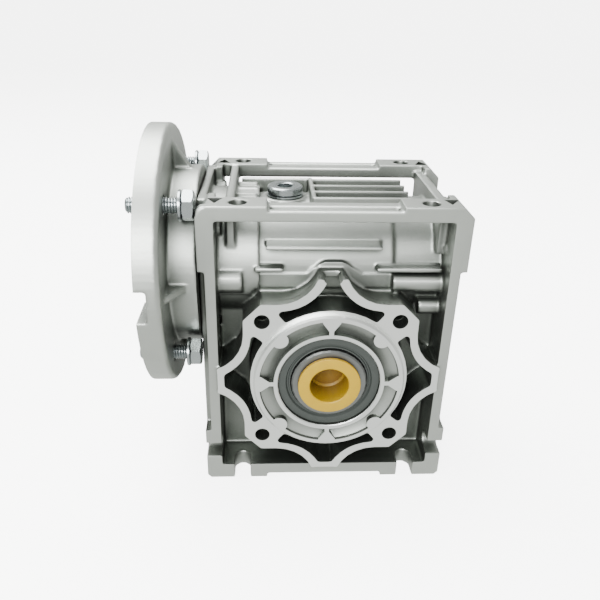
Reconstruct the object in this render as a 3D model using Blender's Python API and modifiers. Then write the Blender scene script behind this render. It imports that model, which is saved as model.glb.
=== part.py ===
"""Worm gearbox, size 40: 40 mm between the worm and the output axis, hollow output shaft.

The origin lies on the foot plane, straight below the middle of the output axis. The output axis runs
along Y, the worm axis along X above it, and the motor flange faces -X. All lengths are in metres.
"""

import math

import bmesh
import bpy
from mathutils import Matrix, Vector

MM = 0.001
DEGREE = math.pi / 180

# Gear pair
MODULE = 2 * MM
WHEEL_TEETH = 30
WORM_PITCH_DIAMETER = 20 * MM
BACKLASH = 0.75 * MM
WHEEL_WIDTH = 18 * MM
WHEEL_RIM_DEPTH = 3.3 * MM
PRESSURE_SLOPE = math.tan(20 * DEGREE)

# Casing
FRAME_LENGTH = 100 * MM
FRAME_DEPTH = 71 * MM
AXIS_HEIGHT = 50 * MM
TOP_ABOVE_WORM = 31.5 * MM
SIDE_WALL = 6.5 * MM
FOOT_WALL = 7 * MM
TOP_WALL = 5.8 * MM
TOP_RAIL_DEPTH = 11.5 * MM
BODY_HALF_DEPTH = 20 * MM
BODY_INSET = 5.5 * MM
CORNER_CHAMFER = 4 * MM
BEARING_WALL = 4 * MM
CHAMBER_WALL = 6.5 * MM
REAR_BOSS_PROUD = 0.7 * MM
TUNNEL_STEP = 2.5 * MM
DRAIN_BOSS = 16 * MM
FOOT_CORNER = 1.5 * MM

# Fins, bars and ribs round the worm tunnel
FIN = 1.6 * MM
FIN_PROUD = 0.5 * MM
FIN_ROOT = 14 * MM
BAR_FROM_BODY = 5 * MM
RIB = 3.2 * MM
RIB_GAP = 7 * MM
RIB_ROOT = 10 * MM
RIB_INSET = 0.6 * MM

# Mounting holes
MOUNT_SPACING_X = 70 * MM
MOUNT_SPACING_Y = 60 * MM
MOUNT_HOLE = 6.5 * MM
FOOT_PAD_GAP = 49 * MM
SIDE_HOLE_HEIGHT = 15 * MM
PAD_STEP = 1.6 * MM
SIDE_STEP = 2.4 * MM
SIDE_PAD_LOW = 25 * MM
SIDE_PAD_TOP = 25 * MM
TOP_GROOVE = 3 * MM

# Hubs and hollow shaft
OUTPUT_BORE = 18 * MM
SHAFT_WALL = 6 * MM
KEY_WIDTH = 6 * MM
KEY_DEPTH = 2.8 * MM
SHOULDER = 4 * MM
HUB_PROUD = 1 * MM
PILOT_PROUD = 2.5 * MM
PILOT_WALL = 2.5 * MM
HUB_BOLT_OFFSET = 7.5 * MM
HUB_SCREW = 6 * MM
HUB_SCREW_DEPTH = 7 * MM
BOSS_REACH = 7.2 * MM
ARM_WALL = 2.5 * MM
ARM_TIP = 4.2 * MM
ARM_HOLLOW = 6 * MM
ARM_NECK = 13 * MM
ARM_BEVEL = 6.7 * MM
ARM_ROOT = 1.3 * MM
TOP_BREAK = 3.4 * MM
TOP_BREAK_DEPTH = 8.5 * MM
POCKET_DEPTH = 6 * MM
POCKET_RIM = 2.5 * MM
POCKET_WALL = 3.5 * MM
POCKET_GAP = 4

# Output bearings and seals
OUTPUT_BEARING_SECTION = 12.5 * MM
OUTPUT_BEARING_WIDTH = 13 * MM
OUTPUT_BALL = 7.8 * MM
OUTPUT_BALLS = 9
SEAL_SECTION = 5 * MM
SEAL_WIDTH = 7 * MM
SEAL_INSET = 1.5 * MM

# Worm, its bearings and seal
MOTOR_BORE = 14 * MM
MOTOR_BORE_DEPTH = 30 * MM
MOTOR_KEY_WIDTH = 5 * MM
MOTOR_KEY_DEPTH = 2.3 * MM
WORM_COLLAR_WALL = 5.5 * MM
WORM_END_INSET = 6 * MM
WORM_REAR_JOURNAL = 17 * MM
THREAD_LENGTH = 34 * MM
INPUT_BEARING_SECTION = 11 * MM
INPUT_BEARING_WIDTH = 12 * MM
INPUT_BALL = 7 * MM
INPUT_BALLS = 9
INPUT_SEAL_WIDTH = 7 * MM
REAR_BEARING_SECTION = 11.5 * MM
REAR_BEARING_WIDTH = 12 * MM
REAR_BALL = 7 * MM
REAR_BALLS = 8
CIRCLIP = 1.2 * MM
CIRCLIP_BITE = 0.9 * MM
JOURNAL_STUB = 1.2 * MM
END_CAP = 4 * MM

# Input flange
FLANGE_REACH = 20 * MM
FLANGE_DIAMETER = 105 * MM
FLANGE_DISC = 9 * MM
MOTOR_PILOT = 70 * MM
MOTOR_PILOT_DEPTH = 4.5 * MM
MOTOR_BOLT_CIRCLE = 85 * MM
MOTOR_BOLT = 6 * MM
MOTOR_BOLT_HOLE = 7 * MM
MOTOR_BOLT_LENGTH = 20 * MM
MOTOR_BOLT_HEAD = 4 * MM
MOTOR_BOLT_HEX = 10 * MM
MOTOR_BOLT_WASHER = 1.2 * MM
NECK_DIAMETER = 72 * MM
NECK_WALL = 4 * MM
NECK_FLOOR = 5.7 * MM
FLANGE_SCREW_WALL = 2 * MM
FLANGE_SCREW = 6 * MM
FLANGE_SCREW_GRIP = 7 * MM
GUSSET = 3 * MM
GUSSET_INSET = 5.5 * MM
GUSSET_END = 3.5 * MM
RIM_NOTCH_WIDTH = 12 * MM
RIM_NOTCH_DEPTH = 4 * MM

# Rear cover
COVER_DISC = 6.2 * MM
COVER_SPIGOT = 6 * MM
COVER_SCREW = 4 * MM
COVER_SCREW_LENGTH = 11 * MM
COVER_LIP = 4.2 * MM
COVER_SINK = 2.3 * MM
COVER_WALL = 1.7 * MM
ORING = 1.6 * MM

# Filler plug and bore caps
PLUG_POSITION = -17.3 * MM
PLUG_HEAD = 14 * MM
PLUG_HEAD_HEIGHT = 2.9 * MM
PLUG_THREAD = 10 * MM
PLUG_LENGTH = 8 * MM
PLUG_PAD = 0.2 * MM
PLUG_PAD_WALL = 2 * MM
PLUG_SOCKET = 5.8 * MM
PLUG_SOCKET_DEPTH = 4 * MM
PLUG_WASHER = 0.6 * MM
CAP_LIP = 3.4 * MM
CAP_FLANGE_THICKNESS = 1.5 * MM
CAP_LENGTH = 12 * MM
CAP_WALL = 1 * MM

# Fits
GAP = 0.3 * MM
OVERLAP = 1 * MM
SOCKET_HEAD = 1.75
CHAMFER = 0.6 * MM
BEARING_LIP = 0.8 * MM
WORM_ROOM = 4 * MM

# Derived sizes
PITCH = math.pi * MODULE
WHEEL_PITCH_DIAMETER = MODULE * WHEEL_TEETH
CENTRE_DISTANCE = (WORM_PITCH_DIAMETER + WHEEL_PITCH_DIAMETER) / 2
TOOTH_HALF = (PITCH / 2 - BACKLASH) / 2
DEDENDUM = 1.2 * MODULE
WORM_HEIGHT = AXIS_HEIGHT + CENTRE_DISTANCE
FRAME_HEIGHT = WORM_HEIGHT + TOP_ABOVE_WORM
HALF_LENGTH = FRAME_LENGTH / 2
HALF_DEPTH = FRAME_DEPTH / 2
INNER_X = HALF_LENGTH - SIDE_WALL
HUB_FACE = HALF_DEPTH + HUB_PROUD
SHAFT_END = HUB_FACE + PILOT_PROUD
SHAFT_RADIUS = OUTPUT_BORE / 2 + SHAFT_WALL
OUTPUT_RACE = SHAFT_RADIUS + OUTPUT_BEARING_SECTION
PILOT_RADIUS = OUTPUT_RACE + PILOT_WALL
SEAL_RADIUS = SHAFT_RADIUS + SEAL_SECTION
SEAL_OUT = SHAFT_END - SEAL_INSET
SEAL_IN = SEAL_OUT - SEAL_WIDTH
BEARING_OUT = SEAL_IN - GAP
BEARING_IN = BEARING_OUT - OUTPUT_BEARING_WIDTH
HUB_BOLT_RADIUS = PILOT_RADIUS + HUB_BOLT_OFFSET
WHEEL_TIP = WHEEL_PITCH_DIAMETER / 2 + MODULE
CHAMBER_RADIUS = WHEEL_TIP + 2 * MM
CHAMBER_HALF = BODY_HALF_DEPTH - CHAMBER_WALL
COVER_RADIUS = HUB_BOLT_RADIUS + HUB_SCREW / 2 + COVER_WALL
COVER_SEAT_RADIUS = COVER_RADIUS + GAP
COVER_SCREW_RADIUS = (CHAMBER_RADIUS + COVER_SEAT_RADIUS) / 2
COVER_OUT = HUB_FACE - COVER_SINK
COVER_IN = COVER_OUT - COVER_DISC
COLLAR_RADIUS = MOTOR_BORE / 2 + WORM_COLLAR_WALL
INPUT_RACE = COLLAR_RADIUS + INPUT_BEARING_SECTION
REAR_RACE = WORM_REAR_JOURNAL / 2 + REAR_BEARING_SECTION
INPUT_BOSS = INPUT_RACE + BEARING_WALL
REAR_BOSS = REAR_RACE + BEARING_WALL
TUNNEL = INPUT_BOSS - TUNNEL_STEP
PLUG_SEAT = TUNNEL + PLUG_PAD
INPUT_SEAL_OUT = -HALF_LENGTH + GAP
INPUT_SEAL_IN = INPUT_SEAL_OUT + INPUT_SEAL_WIDTH
INPUT_CLIP_IN = INPUT_SEAL_IN + GAP + CIRCLIP
INPUT_BEARING_OUT = INPUT_CLIP_IN + GAP
INPUT_BEARING_IN = INPUT_BEARING_OUT + INPUT_BEARING_WIDTH
REAR_END = HALF_LENGTH + REAR_BOSS_PROUD
END_CAP_IN = REAR_END - GAP - END_CAP
CLIP_GROOVE_END = END_CAP_IN - GAP - JOURNAL_STUB
CLIP_GROOVE = CLIP_GROOVE_END - CIRCLIP - GAP
REAR_BEARING_OUT = CLIP_GROOVE - GAP / 2
REAR_BEARING_IN = REAR_BEARING_OUT - REAR_BEARING_WIDTH
FLANGE_FACE = -HALF_LENGTH - FLANGE_REACH
DISC_BACK = FLANGE_FACE + FLANGE_DISC
NECK_END = -HALF_LENGTH - GAP
WORM_END = FLANGE_FACE + WORM_END_INSET
FLANGE_SCREW_RADIUS = INPUT_RACE + FLANGE_SCREW / 2 + FLANGE_SCREW_WALL

OUTPUT_CENTRE = Vector((0, 0, AXIS_HEIGHT))
WORM_CENTRE = Vector((0, 0, WORM_HEIGHT))
TURN = {"X": Matrix.Rotation(90 * DEGREE, 4, "Y"), "Y": Matrix.Rotation(-90 * DEGREE, 4, "X")}
TURN["Z"] = Matrix.Identity(4)


def start_scene():
    """Empties the scene and returns the collections for the pieces and for the tools that shape them."""
    for item in list(bpy.data.objects):
        bpy.data.objects.remove(item)
    scene = bpy.context.scene.collection
    pieces = bpy.data.collections.new("worm_gearbox")
    tools = bpy.data.collections.new("shaping_tools")
    scene.children.link(pieces)
    scene.children.link(tools)
    return pieces, tools


PIECES, TOOLS = start_scene()


def finish(name, colour, roughness, metallic):
    """A Principled material with one colour, given as red, green and blue from 0 to 1."""
    made = bpy.data.materials.new(name)
    made.use_nodes = True
    shader = made.node_tree.nodes["Principled BSDF"]
    shader.inputs["Base Color"].default_value = (*colour, 1)
    shader.inputs["Roughness"].default_value = roughness
    shader.inputs["Metallic"].default_value = metallic
    return made


DIE_CAST = finish("die_cast_aluminium", (0.62, 0.64, 0.62), 0.45, 1.0)
STEEL = finish("ground_steel", (0.55, 0.55, 0.54), 0.25, 1.0)
ZINC = finish("zinc_plated_steel", (0.66, 0.67, 0.65), 0.3, 1.0)
IRON = finish("cast_iron", (0.2, 0.2, 0.21), 0.6, 1.0)
BRONZE = finish("tin_bronze", (0.62, 0.36, 0.13), 0.3, 1.0)
RUBBER = finish("nitrile_rubber", (0.03, 0.035, 0.035), 0.6, 0.0)
CAP_YELLOW = finish("yellow_polyethylene", (0.75, 0.42, 0.03), 0.4, 0.0)


def add_object(name, mesh, material=None, place=None):
    """Links a mesh as a piece, or as a hidden shaping tool when it has no material."""
    item = bpy.data.objects.new(name, mesh)
    if material:
        PIECES.objects.link(item)
        mesh.materials.append(material)
    else:
        TOOLS.objects.link(item)
        item.hide_render = True
        item.display_type = "WIRE"
    if place:
        item.matrix_world = place
    return item


def mesh_from(name, bm):
    bmesh.ops.recalc_face_normals(bm, faces=bm.faces)
    mesh = bpy.data.meshes.new(name)
    bm.to_mesh(mesh)
    bm.free()
    mesh.shade_smooth()
    mesh.set_sharp_from_angle(angle=35 * DEGREE)
    return mesh


def block(name, x, y, z, material=None):
    """A box between two values on each axis."""
    bm = bmesh.new()
    bmesh.ops.create_cube(bm, size=1)
    spans = (x, y, z)
    bmesh.ops.scale(bm, vec=[max(s) - min(s) for s in spans], verts=bm.verts)
    bmesh.ops.translate(bm, vec=[(max(s) + min(s)) / 2 for s in spans], verts=bm.verts)
    return add_object(name, mesh_from(name, bm), material)


def rod(name, axis, centre, radius, start, end, segments=16, material=None, far_radius=None):
    """A cylinder or cone along an axis from start to end; the centre gives the other two coordinates."""
    bm = bmesh.new()
    bmesh.ops.create_cone(
        bm,
        cap_ends=True,
        segments=segments,
        radius1=radius,
        radius2=radius if far_radius is None else far_radius,
        depth=end - start,
    )
    bmesh.ops.translate(bm, vec=(0, 0, (start + end) / 2), verts=bm.verts)
    return add_object(name, mesh_from(name, bm), material, Matrix.Translation(centre) @ TURN[axis])


def turned(name, axis, centre, profile, segments=24, material=None):
    """A ring or shaft turned about an axis through the centre.

    The profile holds (radius, position) pairs. It runs from high to low positions on the outer side.
    """
    mesh = bpy.data.meshes.new(name)
    closed = profile[0][0] > 0
    edges = [(i, i + 1) for i in range(len(profile) - 1)]
    if closed:
        edges.append((len(profile) - 1, 0))
    mesh.from_pydata([(radius, 0, position) for radius, position in profile], edges, [])
    item = add_object(name, mesh, material, Matrix.Translation(centre) @ TURN[axis])
    screw = item.modifiers.new("turned", "SCREW")
    screw.axis = "Z"
    screw.steps = segments
    screw.render_steps = segments
    screw.use_merge_vertices = True
    screw.merge_threshold = 0.00001
    screw.use_smooth_shade = True
    return item


def ring(name, axis, centre, outer, inner, start, end, segments=24, material=None):
    """A plain ring between two radii and two positions."""
    profile = [(outer, end), (outer, start), (inner, start), (inner, end)]
    return turned(name, axis, centre, profile, segments, material)


def arc(centre, radius, start, end, steps):
    """Points along a circular arc, with angles in degrees, both ends included."""
    points = []
    for step in range(steps + 1):
        angle = (start + (end - start) * step / steps) * DEGREE
        points.append((centre[0] + radius * math.cos(angle), centre[1] + radius * math.sin(angle)))
    return points


def turn_points(points, quarter):
    """The same outline, turned by a number of quarter turns."""
    for _ in range(quarter):
        points = [(-b, a) for a, b in points]
    return points


def plate(name, outline, start, end, axis="Y", centre=(0, 0, 0), material=None):
    """A flat outline given thickness: a filled 2D curve, made a closed mesh.

    Along Y the outline's pairs are x and z, and along X they are y and z.
    """
    curve = bpy.data.curves.new(name, "CURVE")
    curve.dimensions = "2D"
    curve.fill_mode = "BOTH"
    curve.extrude = (end - start) / 2
    line = curve.splines.new("POLY")
    line.points.add(len(outline) - 1)
    for point, (a, b) in zip(line.points, outline):
        point.co = (a, b, 0, 1)
    line.use_cyclic_u = True
    guide = bpy.data.objects.new(name + "_outline", curve)
    TOOLS.objects.link(guide)
    bpy.context.view_layer.update()
    graph = bpy.context.evaluated_depsgraph_get()
    flat = bpy.data.meshes.new_from_object(guide.evaluated_get(graph))
    bpy.data.objects.remove(guide)
    stand = Matrix.Rotation(90 * DEGREE, 4, "X")
    if axis == "X":
        stand = Matrix.Rotation(90 * DEGREE, 4, "Z") @ stand
    middle = (start + end) / 2
    shift = Vector((0, middle, 0)) if axis == "Y" else Vector((middle, 0, 0))
    bm = bmesh.new()
    bm.from_mesh(flat)
    bmesh.ops.remove_doubles(bm, verts=bm.verts, dist=0.000001)
    bmesh.ops.transform(bm, matrix=Matrix.Translation(shift) @ stand, verts=bm.verts)
    bmesh.ops.dissolve_limit(bm, angle_limit=0.1 * DEGREE, verts=bm.verts, edges=bm.edges)
    return add_object(name, mesh_from(name, bm), material, Matrix.Translation(centre))


def combine(item, operation, tools):
    """Adds the tools to the piece, or takes them away from it, in one Boolean."""
    group = bpy.data.collections.new(f"{item.name}_{operation.lower()}")
    TOOLS.children.link(group)
    for tool in tools:
        group.objects.link(tool)
        TOOLS.objects.unlink(tool)
    change = item.modifiers.new(operation.lower(), "BOOLEAN")
    change.operation = operation
    change.solver = "EXACT"
    change.operand_type = "COLLECTION"
    change.collection = group
    return item


def around(radius, first_angle, height):
    """Four places on a circle in the y-z plane round an axis at the given height."""
    places = []
    for quarter in range(4):
        angle = (first_angle + 90 * quarter) * DEGREE
        places.append((radius * math.cos(angle), height + radius * math.sin(angle)))
    return places


HUB_BOLTS = around(HUB_BOLT_RADIUS, 45, AXIS_HEIGHT)
COVER_SCREWS = around(COVER_SCREW_RADIUS, 0, AXIS_HEIGHT)
FLANGE_SCREWS = around(FLANGE_SCREW_RADIUS, 45, WORM_HEIGHT)
MOTOR_BOLTS = around(MOTOR_BOLT_CIRCLE / 2, 45, WORM_HEIGHT)


def star_quarter():
    """A quarter of the front web's outline, from the tip on +x to the tip on +z."""
    tip = INNER_X + OVERLAP / 2
    corner = HUB_BOLT_RADIUS * math.cos(45 * DEGREE) + BOSS_REACH
    centre = (tip + ARM_HOLLOW, corner - ARM_NECK)
    radius = centre[0] - corner
    drop = centre[1] - ARM_TIP
    rise = math.asin(drop / math.hypot(ARM_HOLLOW, drop)) / DEGREE
    first = arc(centre, radius, 180 + rise, 180, 5)
    bevel = [(corner, corner - ARM_BEVEL), (corner - ARM_BEVEL, corner)]
    second = [(b, a) for a, b in reversed(first)]
    return [(tip, ARM_TIP)] + first + bevel + second + [(ARM_TIP, tip)]


def star_window():
    """The opening between the pilot ring and the two arms that meet in the tip on +x."""
    tip = INNER_X - ARM_WALL + OVERLAP / 2
    corner = HUB_BOLT_RADIUS * math.cos(45 * DEGREE) + BOSS_REACH
    side = [(0.6, -24.2), (-1.7, -18.2), (-2.6, -14.2), (-4.3, -13.4)]
    half = [(tip, ARM_TIP - OVERLAP)] + [(corner + a * MM, corner + b * MM) for a, b in side]
    inner = arc((0, 0), PILOT_RADIUS + ARM_ROOT, 34, -34, 8)
    return half + inner + [(a, -b) for a, b in reversed(half)]


def front_web():
    """The star-shaped web round the front hub, open at the top where it meets the worm tunnel."""
    outline = []
    for quarter in range(4):
        outline += turn_points(star_quarter(), quarter)
    base = (0, 0, AXIS_HEIGHT)
    back = -BODY_HALF_DEPTH + OVERLAP
    web = plate("front_web", outline, -HUB_FACE, back, centre=base)
    cuts = []
    for quarter in range(4):
        window = turn_points(star_window(), quarter)
        depth = back + OVERLAP
        cuts.append(plate(f"web_window_{quarter}", window, -HUB_FACE - OVERLAP, depth, centre=base))
    break_y = (-HUB_FACE - OVERLAP, -HUB_FACE + TOP_BREAK_DEPTH)
    break_z = (AXIS_HEIGHT + PILOT_RADIUS + ARM_WALL, AXIS_HEIGHT + INNER_X + 2 * OVERLAP)
    cuts.append(block("web_break", (-TOP_BREAK, TOP_BREAK), break_y, break_z))
    return combine(web, "DIFFERENCE", cuts)


def rail_outline():
    """The outside of the casing seen from the front, with its two top corners cut off."""
    cut = CORNER_CHAMFER
    foot = FOOT_CORNER
    half = [(HALF_LENGTH - foot, 0), (HALF_LENGTH, foot), (HALF_LENGTH, FRAME_HEIGHT - cut)]
    half.append((HALF_LENGTH - cut, FRAME_HEIGHT))
    return half + [(-a, b) for a, b in reversed(half)]


def frame_shapes():
    """The two picture frames of the casing, front and rear, and the body block between them."""
    shapes = []
    for side, name in ((-1, "front"), (1, "rear")):
        face = side * HALF_DEPTH
        inner = side * (BODY_HALF_DEPTH - OVERLAP)
        rail = plate(f"{name}_frame", rail_outline(), min(face, inner), max(face, inner))
        window_y = (side * (BODY_HALF_DEPTH - 2 * OVERLAP), side * (HALF_DEPTH + OVERLAP))
        window_z = (FOOT_WALL, FRAME_HEIGHT - TOP_WALL)
        window = block(f"{name}_window", (-INNER_X, INNER_X), window_y, window_z)
        rail_y = (side * (BODY_HALF_DEPTH - 2 * OVERLAP), side * (HALF_DEPTH - TOP_RAIL_DEPTH))
        above = (FRAME_HEIGHT - TOP_WALL - OVERLAP, FRAME_HEIGHT + OVERLAP)
        top = block(f"{name}_top_gap", (-INNER_X, INNER_X), rail_y, above)
        shapes.append(combine(rail, "DIFFERENCE", [window, top]))
    body_x = HALF_LENGTH - BODY_INSET
    half = BODY_HALF_DEPTH
    shapes.append(block("body", (-body_x, body_x), (-half, half), (FOOT_WALL - 2 * MM, WORM_HEIGHT)))
    shapes.append(rod("drain_boss", "Z", (0, 0, 0), DRAIN_BOSS / 2, 0, FOOT_WALL, 20))
    return shapes


def tunnel_shapes():
    """The worm tunnel across the top of the body: two bearing bosses and the tube between them."""
    step_in = INPUT_BEARING_IN - 1.5 * MM
    step_rear = REAR_BEARING_IN - 8 * MM
    shapes = [
        rod("input_boss", "X", WORM_CENTRE, INPUT_BOSS, -HALF_LENGTH, step_in, 32),
        rod("tunnel", "X", WORM_CENTRE, TUNNEL, step_in - OVERLAP, step_rear + OVERLAP, 32),
        rod("rear_boss", "X", WORM_CENTRE, REAR_BOSS, step_rear, REAR_END, 28),
    ]
    plug_place = (PLUG_POSITION, 0, WORM_HEIGHT)
    pad_radius = PLUG_HEAD / 2 + PLUG_PAD_WALL
    shapes.append(rod("filler_boss", "Z", plug_place, pad_radius, FIN_ROOT, PLUG_SEAT, 20))
    for number, (y, z) in enumerate(FLANGE_SCREWS):
        radius = FLANGE_SCREW / 2 + FLANGE_SCREW_WALL
        end = -HALF_LENGTH + FLANGE_SCREW_GRIP + OVERLAP
        shapes.append(rod(f"screw_boss_{number}", "X", (0, y, z), radius, -HALF_LENGTH, end, 14))
    return shapes + tunnel_bars() + tunnel_fins() + end_ribs()


def tunnel_bars():
    """Round stiffening bars from the end walls along the front of the tunnel.

    Each has its drop below the worm axis, its radius and its length inside the end wall.
    """
    bars = []
    wall = INNER_X + OVERLAP
    for name, side, drop, radius, length in (
        ("input_bar", -1, 0.9 * MM, 5.3 * MM, 9.5 * MM),
        ("rear_bar", 1, 1.8 * MM, 4 * MM, 19.5 * MM),
        ("rear_low_bar", 1, 12.2 * MM, 3.4 * MM, 8.5 * MM),
    ):
        place = (0, -BODY_HALF_DEPTH - BAR_FROM_BODY, WORM_HEIGHT - drop)
        start, end = sorted((side * wall, side * (INNER_X - length)))
        bars.append(rod(name, "X", place, radius, start, end, 14))
    return bars


def tunnel_fins():
    """Thin fins along the tunnel: three on its front and seven on its top."""
    fins = []
    front = (-INPUT_BOSS - 1.3 * MM, -REAR_BOSS + 5 * MM)
    input_end, rear_end = -HALF_LENGTH, HALF_LENGTH
    for name, rise, start, end in (
        ("long_fin", 12.3 * MM, input_end + 25 * MM, rear_end - 31 * MM),
        ("input_fin", 3.5 * MM, input_end + 21 * MM, input_end + 31.5 * MM),
        ("rear_fin", 3.5 * MM, rear_end - 32.5 * MM, rear_end - 7.5 * MM),
    ):
        z = WORM_HEIGHT + rise
        fins.append(block(name, (start, end), front, (z, z + FIN)))
    top = (WORM_HEIGHT + FIN_ROOT, WORM_HEIGHT + INPUT_BOSS + FIN_PROUD)
    behind_plug = PLUG_POSITION + PLUG_HEAD / 2 + 3.8 * MM
    for name, y_values, start, end in (
        ("rear_top_fin", (-13, -4.5, 4, 12.5), behind_plug, rear_end - 18 * MM),
        ("input_top_fin", (-8, 0, 7.5), input_end + 13 * MM, input_end + 21.7 * MM),
    ):
        for number, y in enumerate(y_values):
            across = (y * MM, y * MM + FIN)
            fins.append(block(f"{name}_{number}", (start, end), across, top))
    return fins


def end_ribs():
    """The ribs across the top, between the front and the rear rail."""
    rail_y = HALF_DEPTH - TOP_RAIL_DEPTH + OVERLAP
    across = (-rail_y, rail_y)
    high = (WORM_HEIGHT + RIB_ROOT, FRAME_HEIGHT - RIB_INSET)
    low = (high[0], high[1] - 2 * MM)
    inner = -HALF_LENGTH + RIB + RIB_GAP
    return [
        block("end_rib", (-HALF_LENGTH, -HALF_LENGTH + RIB), across, high),
        block("inner_rib", (inner, inner + RIB), across, high),
        block("rear_rib", (INNER_X - RIB, INNER_X + OVERLAP), across, low),
    ]


def front_hub_shapes():
    """The front bearing hub with its pilot, the star web and the seat ring of the rear cover."""
    hub = rod("front_hub", "Y", OUTPUT_CENTRE, PILOT_RADIUS, -SHAFT_END, -BODY_HALF_DEPTH + OVERLAP, 36)
    seat = rod("cover_seat", "Y", OUTPUT_CENTRE, COVER_SEAT_RADIUS, BODY_HALF_DEPTH - OVERLAP,
               COVER_IN - GAP, 36)
    return [front_web(), hub, seat]


def housing_cuts():
    """The bores, the oil chamber, the mounting holes and slots, and the relief between the pads."""
    c, w = OUTPUT_CENTRE, WORM_CENTRE
    body_x = HALF_LENGTH - BODY_INSET
    sump_x = body_x - CHAMBER_WALL
    sump_z = (FOOT_WALL + BEARING_WALL, AXIS_HEIGHT)
    half = CHAMBER_HALF
    cuts = [
        rod("chamber", "Y", c, CHAMBER_RADIUS, -half, COVER_IN + OVERLAP, 32),
        block("sump", (-sump_x, sump_x), (-half, half), sump_z),
        rod("bearing_bore", "Y", c, OUTPUT_RACE + GAP, -BEARING_OUT - GAP, -half + OVERLAP, 28),
        rod("seal_bore", "Y", c, SEAL_RADIUS + GAP, -SHAFT_END - OVERLAP, -BEARING_OUT, 32),
        rod("input_bore", "X", w, INPUT_RACE + GAP, -HALF_LENGTH - OVERLAP, INPUT_BEARING_IN + GAP, 28),
        rod("clip_groove", "X", w, INPUT_RACE + CIRCLIP_BITE + GAP, INPUT_SEAL_IN,
            INPUT_BEARING_OUT, 24),
        rod("worm_bore", "X", w, WORM_PITCH_DIAMETER / 2 + MODULE + WORM_ROOM, INPUT_BEARING_IN,
            REAR_BEARING_IN, 24),
        rod("rear_bore", "X", w, REAR_RACE + GAP, REAR_BEARING_IN - GAP, REAR_END + OVERLAP, 28),
        rod("filler_hole", "Z", (PLUG_POSITION, 0, 0), PLUG_THREAD / 2 + GAP, WORM_HEIGHT,
            WORM_HEIGHT + PLUG_SEAT + OVERLAP, 16),
    ]
    for number, (x, z) in enumerate(HUB_BOLTS):
        depth = -HUB_FACE + HUB_SCREW_DEPTH + 3 * MM
        cuts.append(rod(f"hub_thread_{number}", "Y", (x, 0, z), HUB_SCREW / 2, -HUB_FACE - OVERLAP,
                        depth, 12))
    for number, (x, z) in enumerate(COVER_SCREWS):
        depth = COVER_OUT - COVER_LIP - COVER_SCREW_LENGTH - GAP
        cuts.append(rod(f"cover_thread_{number}", "Y", (x, 0, z), COVER_SCREW / 2 + GAP, depth,
                        COVER_IN + OVERLAP, 10))
    for number, (y, z) in enumerate(FLANGE_SCREWS):
        cuts.append(rod(f"flange_thread_{number}", "X", (0, y, z), FLANGE_SCREW / 2 + GAP,
                        -HALF_LENGTH - OVERLAP, -HALF_LENGTH + FLANGE_SCREW_GRIP, 12))
    cuts += end_pockets("hub_pocket", -SHAFT_END - OVERLAP, -SHAFT_END + POCKET_DEPTH)
    return cuts + mounting_cuts()


def end_pockets(name, start, end):
    """Four curved pockets in a hub's end face, with a thin web between each two."""
    pockets = []
    inner, outer = SEAL_RADIUS + POCKET_RIM, PILOT_RADIUS - POCKET_WALL
    for quarter in range(4):
        first = 90 * quarter + POCKET_GAP
        last = 90 * (quarter + 1) - POCKET_GAP
        outline = arc((0, 0), outer, first, last, 6) + arc((0, 0), inner, last, first, 6)
        pockets.append(plate(f"{name}_{quarter}", outline, start, end, centre=OUTPUT_CENTRE))
    return pockets


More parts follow.
